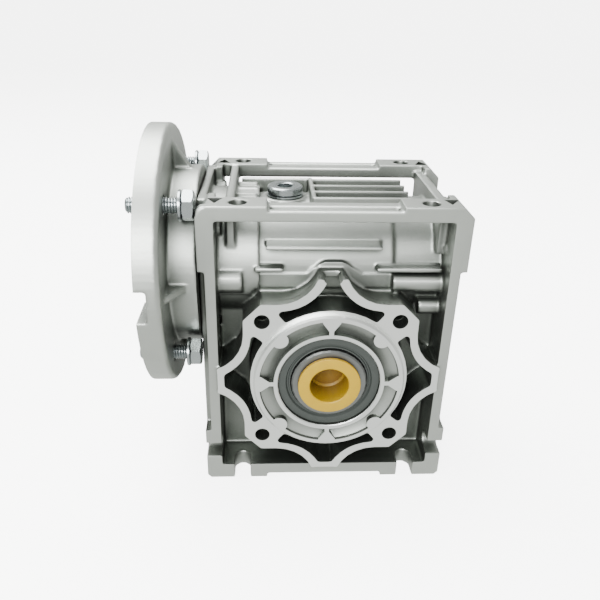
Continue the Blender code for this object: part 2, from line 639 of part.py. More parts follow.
def mounting_cuts():
    """The foot slots, top holes and side slots, and the steps between their pads."""
    cuts = []
    half_x, half_y = MOUNT_SPACING_X / 2, MOUNT_SPACING_Y / 2
    radius = MOUNT_HOLE / 2
    pad = FOOT_PAD_GAP / 2
    deep = HALF_DEPTH + OVERLAP
    for sx in (-1, 1):
        for sy in (-1, 1):
            name = f"{'left' if sx < 0 else 'right'}_{'front' if sy < 0 else 'rear'}"
            place = (sx * half_x, sy * half_y, 0)
            edge = (sy * half_y, sy * deep)
            low, high = (-OVERLAP, FOOT_WALL + OVERLAP), FRAME_HEIGHT
            slot_x = (sx * half_x - radius, sx * half_x + radius)
            cuts.append(rod(f"foot_hole_{name}", "Z", place, radius, *low, 14))
            cuts.append(block(f"foot_slot_{name}", slot_x, edge, low))
            cuts.append(rod(f"top_hole_{name}", "Z", place, radius, high - TOP_WALL - OVERLAP,
                            high + OVERLAP, 14))
            side_x = (sx * (INNER_X - OVERLAP), sx * (HALF_LENGTH + OVERLAP))
            side_place = (0, sy * half_y, SIDE_HOLE_HEIGHT)
            cuts.append(rod(f"side_hole_{name}", "X", side_place, radius, min(side_x), max(side_x), 14))
            slot_z = (SIDE_HOLE_HEIGHT - radius, SIDE_HOLE_HEIGHT + radius)
            cuts.append(block(f"side_slot_{name}", side_x, edge, slot_z))
    across = (-HALF_DEPTH - OVERLAP, HALF_DEPTH + OVERLAP)
    for sy, name in ((-1, "front"), (1, "rear")):
        y = (sy * BODY_HALF_DEPTH, sy * (HALF_DEPTH + OVERLAP))
        cuts.append(block(f"{name}_foot_step", (-pad, pad), y, (-OVERLAP, PAD_STEP)))
        groove_y = (sy * (half_y - TOP_GROOVE / 6), sy * (half_y + TOP_GROOVE * 5 / 6))
        groove_z = (FRAME_HEIGHT - PAD_STEP - 2 * MM, FRAME_HEIGHT)
        cuts.append(block(f"{name}_groove", (-pad + OVERLAP, pad - OVERLAP), groove_y, groove_z))
        top_y = (sy * BODY_HALF_DEPTH, sy * (HALF_DEPTH + OVERLAP))
        top_z = (FRAME_HEIGHT - PAD_STEP, FRAME_HEIGHT + OVERLAP)
        cuts.append(block(f"{name}_top_step", (-pad, pad), top_y, top_z))
    for sx, name in ((-1, "left"), (1, "right")):
        x = (sx * (HALF_LENGTH - SIDE_STEP), sx * (HALF_LENGTH + 3 * OVERLAP))
        z = (SIDE_PAD_LOW, FRAME_HEIGHT - SIDE_PAD_TOP)
        for sy, side in ((-1, "front"), (1, "rear")):
            y = (sy * (INPUT_BOSS + OVERLAP), sy * (HALF_DEPTH + OVERLAP))
            cuts.append(block(f"{name}_{side}_side_step", x, y, z))
    return cuts


def make_housing():
    """The casting: a floor block, with everything else added, and then the openings cut."""
    shapes = frame_shapes() + tunnel_shapes() + front_hub_shapes()
    side = DRAIN_BOSS / 2
    housing = block("housing", (-side, side), (-side, side), (FOOT_WALL, FOOT_WALL + PAD_STEP), DIE_CAST)
    combine(housing, "UNION", shapes)
    combine(housing, "DIFFERENCE", housing_cuts())


def socket_screw(name, axis, centre, radius, seat, head_end, tip):
    """A socket head screw. It points from its head end to its tip along the axis."""
    way = 1 if tip > seat else -1
    head = abs(seat - head_end)
    head_radius = radius * SOCKET_HEAD
    low, high = sorted((tip, head_end))
    high_radius, low_radius = (radius, head_radius) if way > 0 else (head_radius, radius)
    profile = [(0, high), (high_radius, high), (high_radius, seat)]
    profile += [(low_radius, seat), (low_radius, low), (0, low)]
    screw = turned(name, axis, centre, profile, 12, ZINC)
    depth = sorted((head_end - way * OVERLAP, head_end + way * head * 0.55))
    socket = rod(f"{name}_socket", axis, centre, radius * 0.95, *depth, 6)
    return combine(screw, "DIFFERENCE", [socket])


def make_rear_cover():
    """The round cover that closes the wheel's side, with the rear bearing hub in its middle."""
    c = OUTPUT_CENTRE
    spigot = CHAMBER_RADIUS - GAP
    inner = OUTPUT_RACE + GAP
    seal = SEAL_RADIUS + GAP
    groove = COVER_IN - COVER_SPIGOT / 2
    profile = [
        (PILOT_RADIUS, SHAFT_END),
        (PILOT_RADIUS, COVER_OUT),
        (COVER_RADIUS, COVER_OUT),
        (COVER_RADIUS, COVER_IN),
        (spigot, COVER_IN),
        (spigot, groove + ORING / 2 + GAP),
        (spigot - ORING, groove + ORING / 2 + GAP),
        (spigot - ORING, groove - ORING / 2 - GAP),
        (spigot, groove - ORING / 2 - GAP),
        (spigot, COVER_IN - COVER_SPIGOT),
        (PILOT_RADIUS, COVER_IN - COVER_SPIGOT),
        (PILOT_RADIUS, BEARING_IN),
        (inner, BEARING_IN),
        (inner, BEARING_OUT + GAP),
        (seal, BEARING_OUT + GAP),
        (seal, SHAFT_END),
    ]
    cover = turned("rear_cover", "Y", c, profile, 36, DIE_CAST)
    bosses, cuts = [], []
    for number, (x, z) in enumerate(HUB_BOLTS):
        place = (x, 0, z)
        reach = COVER_RADIUS - HUB_BOLT_RADIUS
        bosses.append(rod(f"cover_boss_{number}", "Y", place, reach, COVER_IN + OVERLAP, HUB_FACE, 18))
        cuts.append(rod(f"cover_hub_thread_{number}", "Y", place, HUB_SCREW / 2,
                        HUB_FACE - HUB_SCREW_DEPTH, HUB_FACE + OVERLAP, 12))
    for number, (x, z) in enumerate(COVER_SCREWS):
        place = (x, 0, z)
        seat = COVER_OUT - COVER_LIP
        cuts.append(rod(f"cover_hole_{number}", "Y", place, COVER_SCREW / 2 + GAP, COVER_IN - OVERLAP,
                        seat + OVERLAP, 12))
        cuts.append(rod(f"cover_sink_{number}", "Y", place, COVER_SCREW / 2 * SOCKET_HEAD + GAP, seat,
                        COVER_OUT + OVERLAP, 14))
        socket_screw(f"rear_cover_screw_{number + 1}", "Y", place, COVER_SCREW / 2, seat + GAP,
                     seat + GAP + COVER_SCREW, seat - COVER_SCREW_LENGTH)
    cuts += end_pockets("cover_pocket", SHAFT_END - POCKET_DEPTH, SHAFT_END + OVERLAP)
    combine(cover, "UNION", bosses)
    combine(cover, "DIFFERENCE", cuts)
    ring("rear_cover_oring", "Y", c, spigot, spigot - ORING + GAP / 2, groove - ORING / 2,
         groove + ORING / 2, 36, RUBBER)


def make_bearing(name, axis, centre, inner, outer, start, end, ball, balls):
    """A deep-groove ball bearing: outer ring, balls in their cage, and inner ring."""
    wall = (outer - inner - ball - 2 * GAP) / 2
    middle = (start + end) / 2
    pitch = (inner + outer) / 2
    ring(f"{name}_outer_race", axis, centre, outer, outer - wall, start, end, 28, STEEL)
    ring(f"{name}_inner_race", axis, centre, inner + wall, inner + GAP, start, end, 24, STEEL)
    half = ball / 4
    cage = ring(f"{name}_balls", axis, centre, pitch + BEARING_LIP, pitch - BEARING_LIP, middle - half,
                middle + half, 2 * balls, STEEL)
    rollers = []
    for number in range(balls):
        bm = bmesh.new()
        bmesh.ops.create_icosphere(bm, subdivisions=1, radius=ball / 2)
        angle = 2 * math.pi * number / balls
        place = Vector((pitch * math.cos(angle), pitch * math.sin(angle), middle))
        bmesh.ops.translate(bm, vec=place, verts=bm.verts)
        seat = Matrix.Translation(centre) @ TURN[axis]
        rollers.append(add_object(f"{name}_ball_{number}", mesh_from(f"{name}_ball", bm), None, seat))
    combine(cage, "UNION", rollers)


def make_output_supports():
    """The two bearings and shaft seals of the output shaft."""
    c = OUTPUT_CENTRE
    for side, name in ((-1, "front"), (1, "rear")):
        start, end = sorted((side * BEARING_IN, side * BEARING_OUT))
        make_bearing(f"{name}_output_bearing", "Y", c, SHAFT_RADIUS, OUTPUT_RACE, start, end,
                     OUTPUT_BALL, OUTPUT_BALLS)
        start, end = sorted((side * SEAL_IN, side * SEAL_OUT))
        ring(f"{name}_output_seal", "Y", c, SEAL_RADIUS, SHAFT_RADIUS + GAP, start + GAP, end, 32, RUBBER)


def make_wheel():
    """The hollow shaft with its cast hub, and the bronze toothed rim fixed on it."""
    c = OUTPUT_CENTRE
    shoulder = SHAFT_RADIUS + SHOULDER
    hub_radius = WHEEL_PITCH_DIAMETER / 2 - DEDENDUM - WHEEL_RIM_DEPTH
    half = WHEEL_WIDTH / 2
    seat = BEARING_IN - GAP
    bore = OUTPUT_BORE / 2
    outer = [
        (bore + CHAMFER, SHAFT_END),
        (SHAFT_RADIUS - CHAMFER, SHAFT_END),
        (SHAFT_RADIUS, SHAFT_END - CHAMFER),
        (SHAFT_RADIUS, seat),
        (shoulder, seat),
        (shoulder, half),
        (hub_radius, half),
    ]
    profile = outer + [(r, -p) for r, p in reversed(outer)]
    profile += [(bore, -SHAFT_END + CHAMFER), (bore, SHAFT_END - CHAMFER)]
    hub = turned("wheel_hub", "Y", c, profile, 28, IRON)
    key_z = (AXIS_HEIGHT, AXIS_HEIGHT + bore + KEY_DEPTH)
    ends = (-SHAFT_END - OVERLAP, SHAFT_END + OVERLAP)
    combine(hub, "DIFFERENCE", [block("output_keyway", (-KEY_WIDTH / 2, KEY_WIDTH / 2), ends, key_z)])
    make_rim(c, hub_radius + GAP, half)


def sweep(bm, steps, shift, turn):
    """Extrudes the bmesh's one face step by step, shifting and turning it, into a closed solid."""
    face = next(iter(bm.faces))
    for step in range(steps):
        grown = bmesh.ops.extrude_face_region(bm, geom=[face])["geom"]
        if step:
            bmesh.ops.delete(bm, geom=[face], context="FACES_ONLY")
        verts = [item for item in grown if isinstance(item, bmesh.types.BMVert)]
        face = next(item for item in grown if isinstance(item, bmesh.types.BMFace))
        bmesh.ops.translate(bm, vec=shift, verts=verts)
        bmesh.ops.rotate(bm, cent=(0, 0, 0), matrix=turn, verts=verts)


def make_rim(centre, bore, half):
    """The toothed ring. Its straight-flanked teeth are twisted to the worm's lead angle."""
    lead_slope = PITCH / (math.pi * WORM_PITCH_DIAMETER)
    pitch_radius = WHEEL_PITCH_DIAMETER / 2
    layers = 2
    bm = bmesh.new()
    outline = []
    for tooth in range(WHEEL_TEETH):
        middle = 90 * DEGREE + (tooth + 0.5) * 2 * math.pi / WHEEL_TEETH
        flank = []
        for height in (MODULE, -DEDENDUM):
            radius = pitch_radius + height
            width = TOOTH_HALF - height * PRESSURE_SLOPE
            flank.append((radius, width / radius))
        (tip, tip_half), (root, root_half) = flank
        for radius, shift in ((root, -root_half), (tip, -tip_half), (tip, tip_half), (root, root_half)):
            outline.append((radius, middle + shift))
    points = [bm.verts.new((r * math.cos(a), -half, r * math.sin(a))) for r, a in outline]
    edges = [bm.edges.new((points[i], points[i - 1])) for i in range(len(points))]
    bmesh.ops.contextual_create(bm, geom=edges)
    twist = 2 * half * lead_slope / pitch_radius
    bmesh.ops.rotate(bm, cent=(0, 0, 0), matrix=Matrix.Rotation(-twist / 2, 3, "Y"), verts=bm.verts)
    sweep(bm, layers, (0, 2 * half / layers, 0), Matrix.Rotation(twist / layers, 3, "Y"))
    rim = add_object("wheel_rim", mesh_from("wheel_rim", bm), BRONZE, Matrix.Translation(centre))
    combine(rim, "DIFFERENCE", [rod("rim_bore", "Y", centre, bore, -half - OVERLAP, half + OVERLAP, 32)])


def make_worm():
    """The worm: collar bored for the motor shaft, journals and the single-start thread."""
    c = WORM_CENTRE
    tip = WORM_PITCH_DIAMETER / 2 + MODULE
    root = WORM_PITCH_DIAMETER / 2 - DEDENDUM
    journal = WORM_REAR_JOURNAL / 2
    relief = THREAD_LENGTH / 2 + 3 * MM
    shaft_in = REAR_BEARING_IN - GAP
    bottom = journal - CIRCLIP_BITE - GAP
    profile = [
        (0, END_CAP_IN - GAP),
        (journal, END_CAP_IN - GAP),
        (journal, CLIP_GROOVE_END),
        (bottom, CLIP_GROOVE_END),
        (bottom, CLIP_GROOVE),
        (journal, CLIP_GROOVE),
        (journal, shaft_in),
        (journal + 2 * MM, shaft_in),
        (journal + 2 * MM, relief),
        (root, relief),
        (root, -relief + 3 * MM),
        (tip, INPUT_BEARING_IN + 4 * MM),
        (COLLAR_RADIUS + 2 * MM, INPUT_BEARING_IN + GAP),
        (COLLAR_RADIUS, INPUT_BEARING_IN + GAP),
        (COLLAR_RADIUS, WORM_END),
        (0, WORM_END),
    ]
    worm = turned("worm_shaft", "X", c, profile, 18, STEEL)
    combine(worm, "UNION", [make_thread(c, root, tip)])
    bore = rod("motor_bore", "X", c, MOTOR_BORE / 2, WORM_END - OVERLAP, WORM_END + MOTOR_BORE_DEPTH, 24)
    key_z = (WORM_HEIGHT, WORM_HEIGHT + MOTOR_BORE / 2 + MOTOR_KEY_DEPTH)
    key_y = (-MOTOR_KEY_WIDTH / 2, MOTOR_KEY_WIDTH / 2)
    key_x = (WORM_END - OVERLAP, WORM_END + MOTOR_BORE_DEPTH - 2 * MM)
    keyway = block("motor_keyway", key_x, key_y, key_z)
    combine(worm, "DIFFERENCE", [bore, keyway])
    ring("worm_circlip", "X", c, journal + 1.6 * MM, journal - CIRCLIP_BITE, CLIP_GROOVE + GAP / 2,
         CLIP_GROOVE_END - GAP / 2, 20, STEEL)


def make_thread(centre, root, tip):
    """The thread: a trapezoid carried round the worm axis, one pitch further for each turn."""
    turns = THREAD_LENGTH / PITCH
    steps = 12
    sunk = 0.6 * MM
    bm = bmesh.new()
    corners = []
    for radius in (root - sunk, tip):
        half = TOOTH_HALF - (radius - WORM_PITCH_DIAMETER / 2) * PRESSURE_SLOPE
        corners.append((radius, half))
    (low, low_half), (high, high_half) = corners
    section = [(low, -low_half), (high, -high_half), (high, high_half), (low, low_half)]
    bm.faces.new([bm.verts.new((r, 0, p)) for r, p in section])
    bmesh.ops.translate(bm, vec=(0, 0, -turns * PITCH / 2), verts=bm.verts)
    start_angle = -turns * math.pi
    bmesh.ops.rotate(bm, cent=(0, 0, 0), matrix=Matrix.Rotation(start_angle, 3, "Z"), verts=bm.verts)
    total = round(turns * steps)
    step_angle = 2 * math.pi * turns / total
    sweep(bm, total, (0, 0, turns * PITCH / total), Matrix.Rotation(step_angle, 3, "Z"))
    bmesh.ops.triangulate(bm, faces=bm.faces)
    place = Matrix.Translation(centre) @ TURN["X"]
    return add_object("worm_thread", mesh_from("worm_thread", bm), None, place)


def make_worm_supports():
    """The worm's bearings, input seal, clip and rear end cap."""
    c = WORM_CENTRE
    make_bearing("input_bearing", "X", c, COLLAR_RADIUS, INPUT_RACE, INPUT_BEARING_OUT, INPUT_BEARING_IN,
                 INPUT_BALL, INPUT_BALLS)
    make_bearing("rear_bearing", "X", c, WORM_REAR_JOURNAL / 2, REAR_RACE, REAR_BEARING_IN,
                 REAR_BEARING_OUT, REAR_BALL, REAR_BALLS)
    ring("input_oil_seal", "X", c, INPUT_RACE, COLLAR_RADIUS + GAP, INPUT_SEAL_OUT,
         INPUT_SEAL_IN - GAP, 28, RUBBER)
    ring("input_circlip", "X", c, INPUT_RACE + CIRCLIP_BITE, INPUT_RACE - 2.2 * MM,
         INPUT_SEAL_IN + GAP, INPUT_CLIP_IN - GAP / 2, 24, STEEL)
    cap_end = REAR_END - GAP
    profile = [
        (0, cap_end - 1.5 * MM),
        (REAR_RACE - 3 * MM, cap_end - 1.5 * MM),
        (REAR_RACE - 3 * MM, cap_end),
        (REAR_RACE, cap_end),
        (REAR_RACE, END_CAP_IN),
        (0, END_CAP_IN),
    ]
    turned("worm_end_cap", "X", c, profile, 28, RUBBER)


def make_input_flange():
    """The motor flange: round disc with a pilot recess, and a neck that bolts to the casing."""
    c = WORM_CENTRE
    rim, neck = FLANGE_DIAMETER / 2, NECK_DIAMETER / 2
    floor = NECK_END - NECK_FLOOR
    soften = 1.2 * MM
    profile = [
        (neck, NECK_END),
        (neck, DISC_BACK),
        (rim - soften, DISC_BACK),
        (rim, DISC_BACK - soften),
        (rim, FLANGE_FACE + soften / 2),
        (rim - soften / 2, FLANGE_FACE),
        (MOTOR_PILOT / 2, FLANGE_FACE),
        (MOTOR_PILOT / 2, FLANGE_FACE + MOTOR_PILOT_DEPTH),
        (neck - NECK_WALL, FLANGE_FACE + MOTOR_PILOT_DEPTH),
        (neck - NECK_WALL, floor),
        (COLLAR_RADIUS + 2 * MM, floor),
        (COLLAR_RADIUS + 2 * MM, NECK_END),
    ]
    flange = turned("input_flange", "X", c, profile, 40, DIE_CAST)
    pads, cuts = [], []
    for number, (y, z) in enumerate(FLANGE_SCREWS):
        place = (0, y, z)
        head_room = FLANGE_SCREW / 2 * SOCKET_HEAD + GAP
        pads.append(rod(f"flange_pad_{number}", "X", place, head_room + OVERLAP / 2, floor - OVERLAP,
                        NECK_END - OVERLAP, 16))
        cuts.append(rod(f"flange_sink_{number}", "X", place, head_room, FLANGE_FACE + MOTOR_PILOT_DEPTH,
                        floor - OVERLAP, 16))
        cuts.append(rod(f"flange_hole_{number}", "X", place, FLANGE_SCREW / 2 + GAP, floor - 2 * OVERLAP,
                        NECK_END + OVERLAP, 12))
        head = floor - OVERLAP - GAP
        socket_screw(f"input_flange_screw_{number + 1}", "X", place, FLANGE_SCREW / 2, head,
                     head - FLANGE_SCREW, -HALF_LENGTH + FLANGE_SCREW_GRIP - OVERLAP)
    for number, (y, z) in enumerate(MOTOR_BOLTS):
        cuts.append(rod(f"motor_hole_{number}", "X", (0, y, z), MOTOR_BOLT_HOLE / 2,
                        FLANGE_FACE - OVERLAP, DISC_BACK + OVERLAP, 14))
    foot, end = rim - GUSSET_INSET, NECK_END - GUSSET_END
    slope = [(DISC_BACK - OVERLAP, neck - OVERLAP), (DISC_BACK - OVERLAP, foot), (DISC_BACK, foot)]
    slope += [(end, neck), (end, neck - OVERLAP)]
    for quarter in range(4):
        web = plate(f"gusset_{quarter}", slope, -GUSSET / 2, GUSSET / 2)
        web.matrix_world = Matrix.Translation(c) @ Matrix.Rotation(90 * quarter * DEGREE, 4, "X")
        pads.append(web)
    for side, name in ((-1, "front"), (1, "rear")):
        x = (FLANGE_FACE - OVERLAP, FLANGE_FACE + RIM_NOTCH_DEPTH)
        y = (side * (MOTOR_PILOT / 2 - OVERLAP), side * (rim + OVERLAP))
        z = (WORM_HEIGHT - RIM_NOTCH_WIDTH / 2, WORM_HEIGHT + RIM_NOTCH_WIDTH / 2)
        cuts.append(block(f"{name}_rim_notch", x, y, z))
    combine(flange, "UNION", pads)
    combine(flange, "DIFFERENCE", cuts)


def make_motor_bolts():
    """Four hexagon head bolts, held loose between the disc and the casing, each with its washer."""
    head_end = -HALF_LENGTH - GAP
    seat = head_end - MOTOR_BOLT_HEAD
    tip = seat - MOTOR_BOLT_LENGTH
    radius = MOTOR_BOLT / 2
    across = MOTOR_BOLT_HEX / 2 / math.cos(30 * DEGREE)
    profile = [(0, seat + OVERLAP), (radius, seat + OVERLAP), (radius, tip + CHAMFER)]
    profile += [(radius - CHAMFER, tip), (0, tip)]
    washer_end = seat - GAP
    for number, (y, z) in enumerate(MOTOR_BOLTS):
        place = (0, y, z)
        name = f"motor_bolt_{number + 1}"
        bolt = turned(name, "X", place, profile, 14, ZINC)
        combine(bolt, "UNION", [rod(f"{name}_head", "X", place, across, seat, head_end, 6)])
        ring(f"{name}_washer", "X", place, MOTOR_BOLT_HEX / 2 + CHAMFER, radius + GAP,
             washer_end - MOTOR_BOLT_WASHER, washer_end, 16, ZINC)


def make_filler_plug():
    """The oil filler plug on top of the worm tunnel, with its sealing washer."""
    seat = WORM_HEIGHT + PLUG_SEAT
    place = (PLUG_POSITION, 0, 0)
    under = seat + 2 * GAP + PLUG_WASHER
    radius = PLUG_HEAD / 2
    profile = [
        (0, under + PLUG_HEAD_HEIGHT),
        (radius - 0.5 * MM, under + PLUG_HEAD_HEIGHT),
        (radius, under + PLUG_HEAD_HEIGHT - 0.5 * MM),
        (radius, under),
        (PLUG_THREAD / 2, under),
        (PLUG_THREAD / 2, under - PLUG_LENGTH),
        (0, under - PLUG_LENGTH),
    ]
    plug = turned("filler_plug", "Z", place, profile, 20, ZINC)
    deep = under + PLUG_HEAD_HEIGHT - PLUG_SOCKET_DEPTH
    high = under + PLUG_HEAD_HEIGHT + OVERLAP
    combine(plug, "DIFFERENCE", [rod("plug_socket", "Z", place, PLUG_SOCKET / 2, deep, high, 6)])
    ring("filler_plug_washer", "Z", place, radius + 0.4 * MM, PLUG_THREAD / 2 + GAP, seat + GAP,
         seat + GAP + PLUG_WASHER, 24, ZINC)


def make_bore_caps():
    """The push-in caps that close the hollow shaft in store. Each is a flanged cup."""
    body = OUTPUT_BORE / 2 - GAP
    flange = OUTPUT_BORE / 2 + CAP_LIP
    recess = body - CAP_WALL
    for side, name in ((-1, "front"), (1, "rear")):
        face = SHAFT_END + GAP
        profile = [
            (recess, face + CAP_FLANGE_THICKNESS),
            (flange - 0.4 * MM, face + CAP_FLANGE_THICKNESS),
            (flange, face + CAP_FLANGE_THICKNESS - 0.4 * MM),
            (flange, face),
            (body, face),
            (body, face - CAP_LENGTH),
            (0, face - CAP_LENGTH),
            (0, face - CAP_LENGTH + CAP_WALL),
            (recess - 0.6 * MM, face - CAP_LENGTH + CAP_WALL),
        ]
        cap = turned(f"{name}_bore_cap", "Y", OUTPUT_CENTRE, profile, 24, CAP_YELLOW)
        if side < 0:
            turn = Matrix.Rotation(math.pi, 4, "Z")
            cap.matrix_world = Matrix.Translation(OUTPUT_CENTRE) @ turn @ TURN["Y"]


make_housing()
make_rear_cover()
make_output_supports()
make_wheel()
make_worm()
make_worm_supports()
make_input_flange()
make_motor_bolts()
make_filler_plug()
make_bore_caps()
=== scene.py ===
# %% [markdown]
# A size 40 worm gearbox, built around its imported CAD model.
# The real one is a die-cast aluminium housing with machined faces, steel shafts and zinc-plated screws.
# It could be drawn from scratch, but then nothing would be sure to fit the moving CAD bodies.
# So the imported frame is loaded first, each visible piece is refined from it or fitted to it,
# and every piece rides on its CAD body.

# %% Load the fixed frame
import math

import bmesh
import bpy
from mathutils import Matrix, Vector


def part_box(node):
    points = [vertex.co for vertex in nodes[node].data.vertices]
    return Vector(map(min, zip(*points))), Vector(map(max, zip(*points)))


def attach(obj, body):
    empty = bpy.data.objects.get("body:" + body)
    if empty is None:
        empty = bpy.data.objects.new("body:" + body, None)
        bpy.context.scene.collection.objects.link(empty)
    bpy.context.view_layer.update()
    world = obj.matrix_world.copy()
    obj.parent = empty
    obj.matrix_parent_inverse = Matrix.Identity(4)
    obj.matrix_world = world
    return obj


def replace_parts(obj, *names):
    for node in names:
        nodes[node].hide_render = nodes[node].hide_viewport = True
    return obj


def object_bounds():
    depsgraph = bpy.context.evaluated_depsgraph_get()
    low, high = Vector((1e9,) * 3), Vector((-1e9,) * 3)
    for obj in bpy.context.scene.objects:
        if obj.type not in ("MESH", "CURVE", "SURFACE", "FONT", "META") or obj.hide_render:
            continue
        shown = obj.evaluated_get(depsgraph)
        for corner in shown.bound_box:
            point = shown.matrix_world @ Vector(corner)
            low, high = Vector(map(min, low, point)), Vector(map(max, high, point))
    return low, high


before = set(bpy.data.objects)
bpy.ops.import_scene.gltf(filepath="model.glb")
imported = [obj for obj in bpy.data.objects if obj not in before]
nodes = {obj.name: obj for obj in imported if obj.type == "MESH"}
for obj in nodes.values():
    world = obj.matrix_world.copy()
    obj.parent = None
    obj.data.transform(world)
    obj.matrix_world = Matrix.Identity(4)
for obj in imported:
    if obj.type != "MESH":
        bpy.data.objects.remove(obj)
cad_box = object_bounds()
MM = 0.001
OUTPUT_AXIS = Vector((0, 0, 50))
WORM_AXIS = Vector((0, 0, 90))
print("CAD nodes", len(nodes), "box", [[round(c, 4) for c in corner] for corner in cad_box])

# %% [markdown]
# Colours are picked as sRGB hex values, because that is how a swatch is read on a screen.
# Cycles works in linear light, so one function turns a hex value to linear.
# A second function adds one node, with its settings and its links, so each material reads as a short list.

# %% Colour and node helpers
def linear(hex_value):
    """An sRGB hex colour, such as "C8CCC9", as linear RGBA."""
    channels = [int(hex_value[i : i + 2], 16) / 255 for i in (0, 2, 4)]
    return tuple(c / 12.92 if c <= 0.04045 else ((c + 0.055) / 1.055) ** 2.4 for c in channels) + (1,)


def add_node(material, kind, settings=None, links=None, **values):
    """One shader node: its settings by name, its input values, and the sockets that feed its inputs."""
    node = material.node_tree.nodes.new(kind)
    for name, value in (settings or {}).items():
        setattr(node, name, value)
    for name, value in values.items():
        node.inputs[name.replace("_", " ")].default_value = value
    for name, socket in (links or {}).items():
        material.node_tree.links.new(socket, node.inputs[name])
    return node


def blank_material(name):
    """A material with an empty node tree."""
    material = bpy.data.materials.new(name)
    material.use_nodes = True
    material.node_tree.nodes.clear()
    return material


def finish_material(material, shader):
    """Sends the shader to the surface output."""
    add_node(material, "ShaderNodeOutputMaterial", links={"Surface": shader.outputs[0]})
    return material


# %% [markdown]
# Die-cast aluminium comes out of the mould with a fine skin, and is shot-blasted with small beads.
# That gives the eye a soft silver-grey with no mirror reflections, slightly mottled where the metal flowed,
# and a faint orange-peel texture about half a millimetre across.
# Machined faces are the same metal cut bright, with fine tool marks a few tenths of a millimetre apart.
# Deep pockets get a darker colour mixed in where other metal stands close: this is painted shade, for the
# light that reaches them badly.
# Two noise patterns at real sizes give this with few nodes, where a painted texture would need an image.

# %% Aluminium materials
CASTING_SHADE_REACH = 40  # mm: how near other metal has to stand for the painted shade to darken the colour
CAP_SHADE_REACH = 12
CLOSED_IN, OPEN = 0.3, 0.92


def painted_recess_shade(material, colour, recess, reach_mm):
    """Paints shade: mixes in a darker colour where other metal stands close by, as in a pocket."""
    reach = add_node(material, "ShaderNodeAmbientOcclusion", {"samples": 6}, Distance=reach_mm * MM)
    open_air = add_node(material, "ShaderNodeMapRange", links={"Value": reach.outputs["AO"]})
    open_air.inputs["From Min"].default_value = CLOSED_IN
    open_air.inputs["From Max"].default_value = OPEN
    # Painted shade: where little light would reach, the darker recess colour replaces the metal's own colour.
    skin = add_node(material, "ShaderNodeMix", {"data_type": "RGBA"},
                    {"Factor": open_air.outputs["Result"], "B": colour.outputs["Result"]})
    skin.inputs["A"].default_value = linear(recess)
    return skin


def cast_metal(name, light, dark, roughness, mottle_mm, grain_mm, bump_mm, recess=None):
    """A blasted, cut or plated metal: two close colours mottled together, and a fine grain."""
    material = blank_material(name)
    place = add_node(material, "ShaderNodeTexCoord")
    mottle = add_node(material, "ShaderNodeTexNoise", {"noise_dimensions": "3D"},
                      {"Vector": place.outputs["Object"]},
                      Scale=1 / (mottle_mm * MM), Detail=3.0, Roughness=0.55)
    grain = add_node(material, "ShaderNodeTexNoise", {"noise_dimensions": "3D"},
                     {"Vector": place.outputs["Object"]},
                     Scale=1 / (grain_mm * MM), Detail=2.0, Roughness=0.6)
    colour = add_node(material, "ShaderNodeMix", {"data_type": "RGBA"}, {"Factor": mottle.outputs["Fac"]})
    colour.inputs["A"].default_value = linear(dark)
    colour.inputs["B"].default_value = linear(light)
    # Painted shade: a darker colour in pockets, from how near other metal stands.
    if recess:
        colour = painted_recess_shade(material, colour, recess, CASTING_SHADE_REACH)
    rough = add_node(material, "ShaderNodeMapRange", links={"Value": grain.outputs["Fac"]})
    rough.inputs["To Min"].default_value = roughness - 0.06
    rough.inputs["To Max"].default_value = roughness + 0.08
    bump = add_node(material, "ShaderNodeBump", links={"Height": grain.outputs["Fac"]},
                    Strength=0.35, Distance=bump_mm * MM)
    shader = add_node(material, "ShaderNodeBsdfPrincipled", links={
        "Base Color": colour.outputs["Result"], "Roughness": rough.outputs["Result"],
        "Normal": bump.outputs["Normal"]}, Metallic=1.0)
    return finish_material(material, shader)


# 60645F is painted shade for the casting's pockets, not a colour of the metal.
CAST = cast_metal("die_cast_aluminium_blasted", "BEC2BC", "B1B5B0", 0.43, 9, 0.55, 0.02, "60645F")
MACHINED = cast_metal("machined_aluminium", "F2F4F1", "EAEDEA", 0.34, 14, 0.3, 0.006)
print("materials", CAST.name, MACHINED.name)


# %% [markdown]
# The screws and the plug are zinc-plated steel, which is bright with a cool, slightly blue cast.
# The shafts and bearings are ground steel, the wheel's hub is turned grey iron, darker and a little rougher,
# and its teeth are tin bronze. The same recipe as for the aluminium serves them all.
# Nitrile rubber is nearly black and satin. The caps are amber polyethylene, waxy, so a little light goes in.

# %% Steel, bronze, rubber and plastic
ZINC = cast_metal("bright_zinc_plated_steel", "B2B8B9", "A3A9AA", 0.27, 3, 0.5, 0.002)
STEEL = cast_metal("ground_steel", "BFC0BE", "B0B2B0", 0.3, 6, 0.4, 0.002)
IRON = cast_metal("machined_cast_iron", "888A88", "7A7C7A", 0.36, 5, 0.4, 0.004)
BRONZE = cast_metal("tin_bronze", "C08A4A", "A9763B", 0.32, 4, 0.4, 0.01)


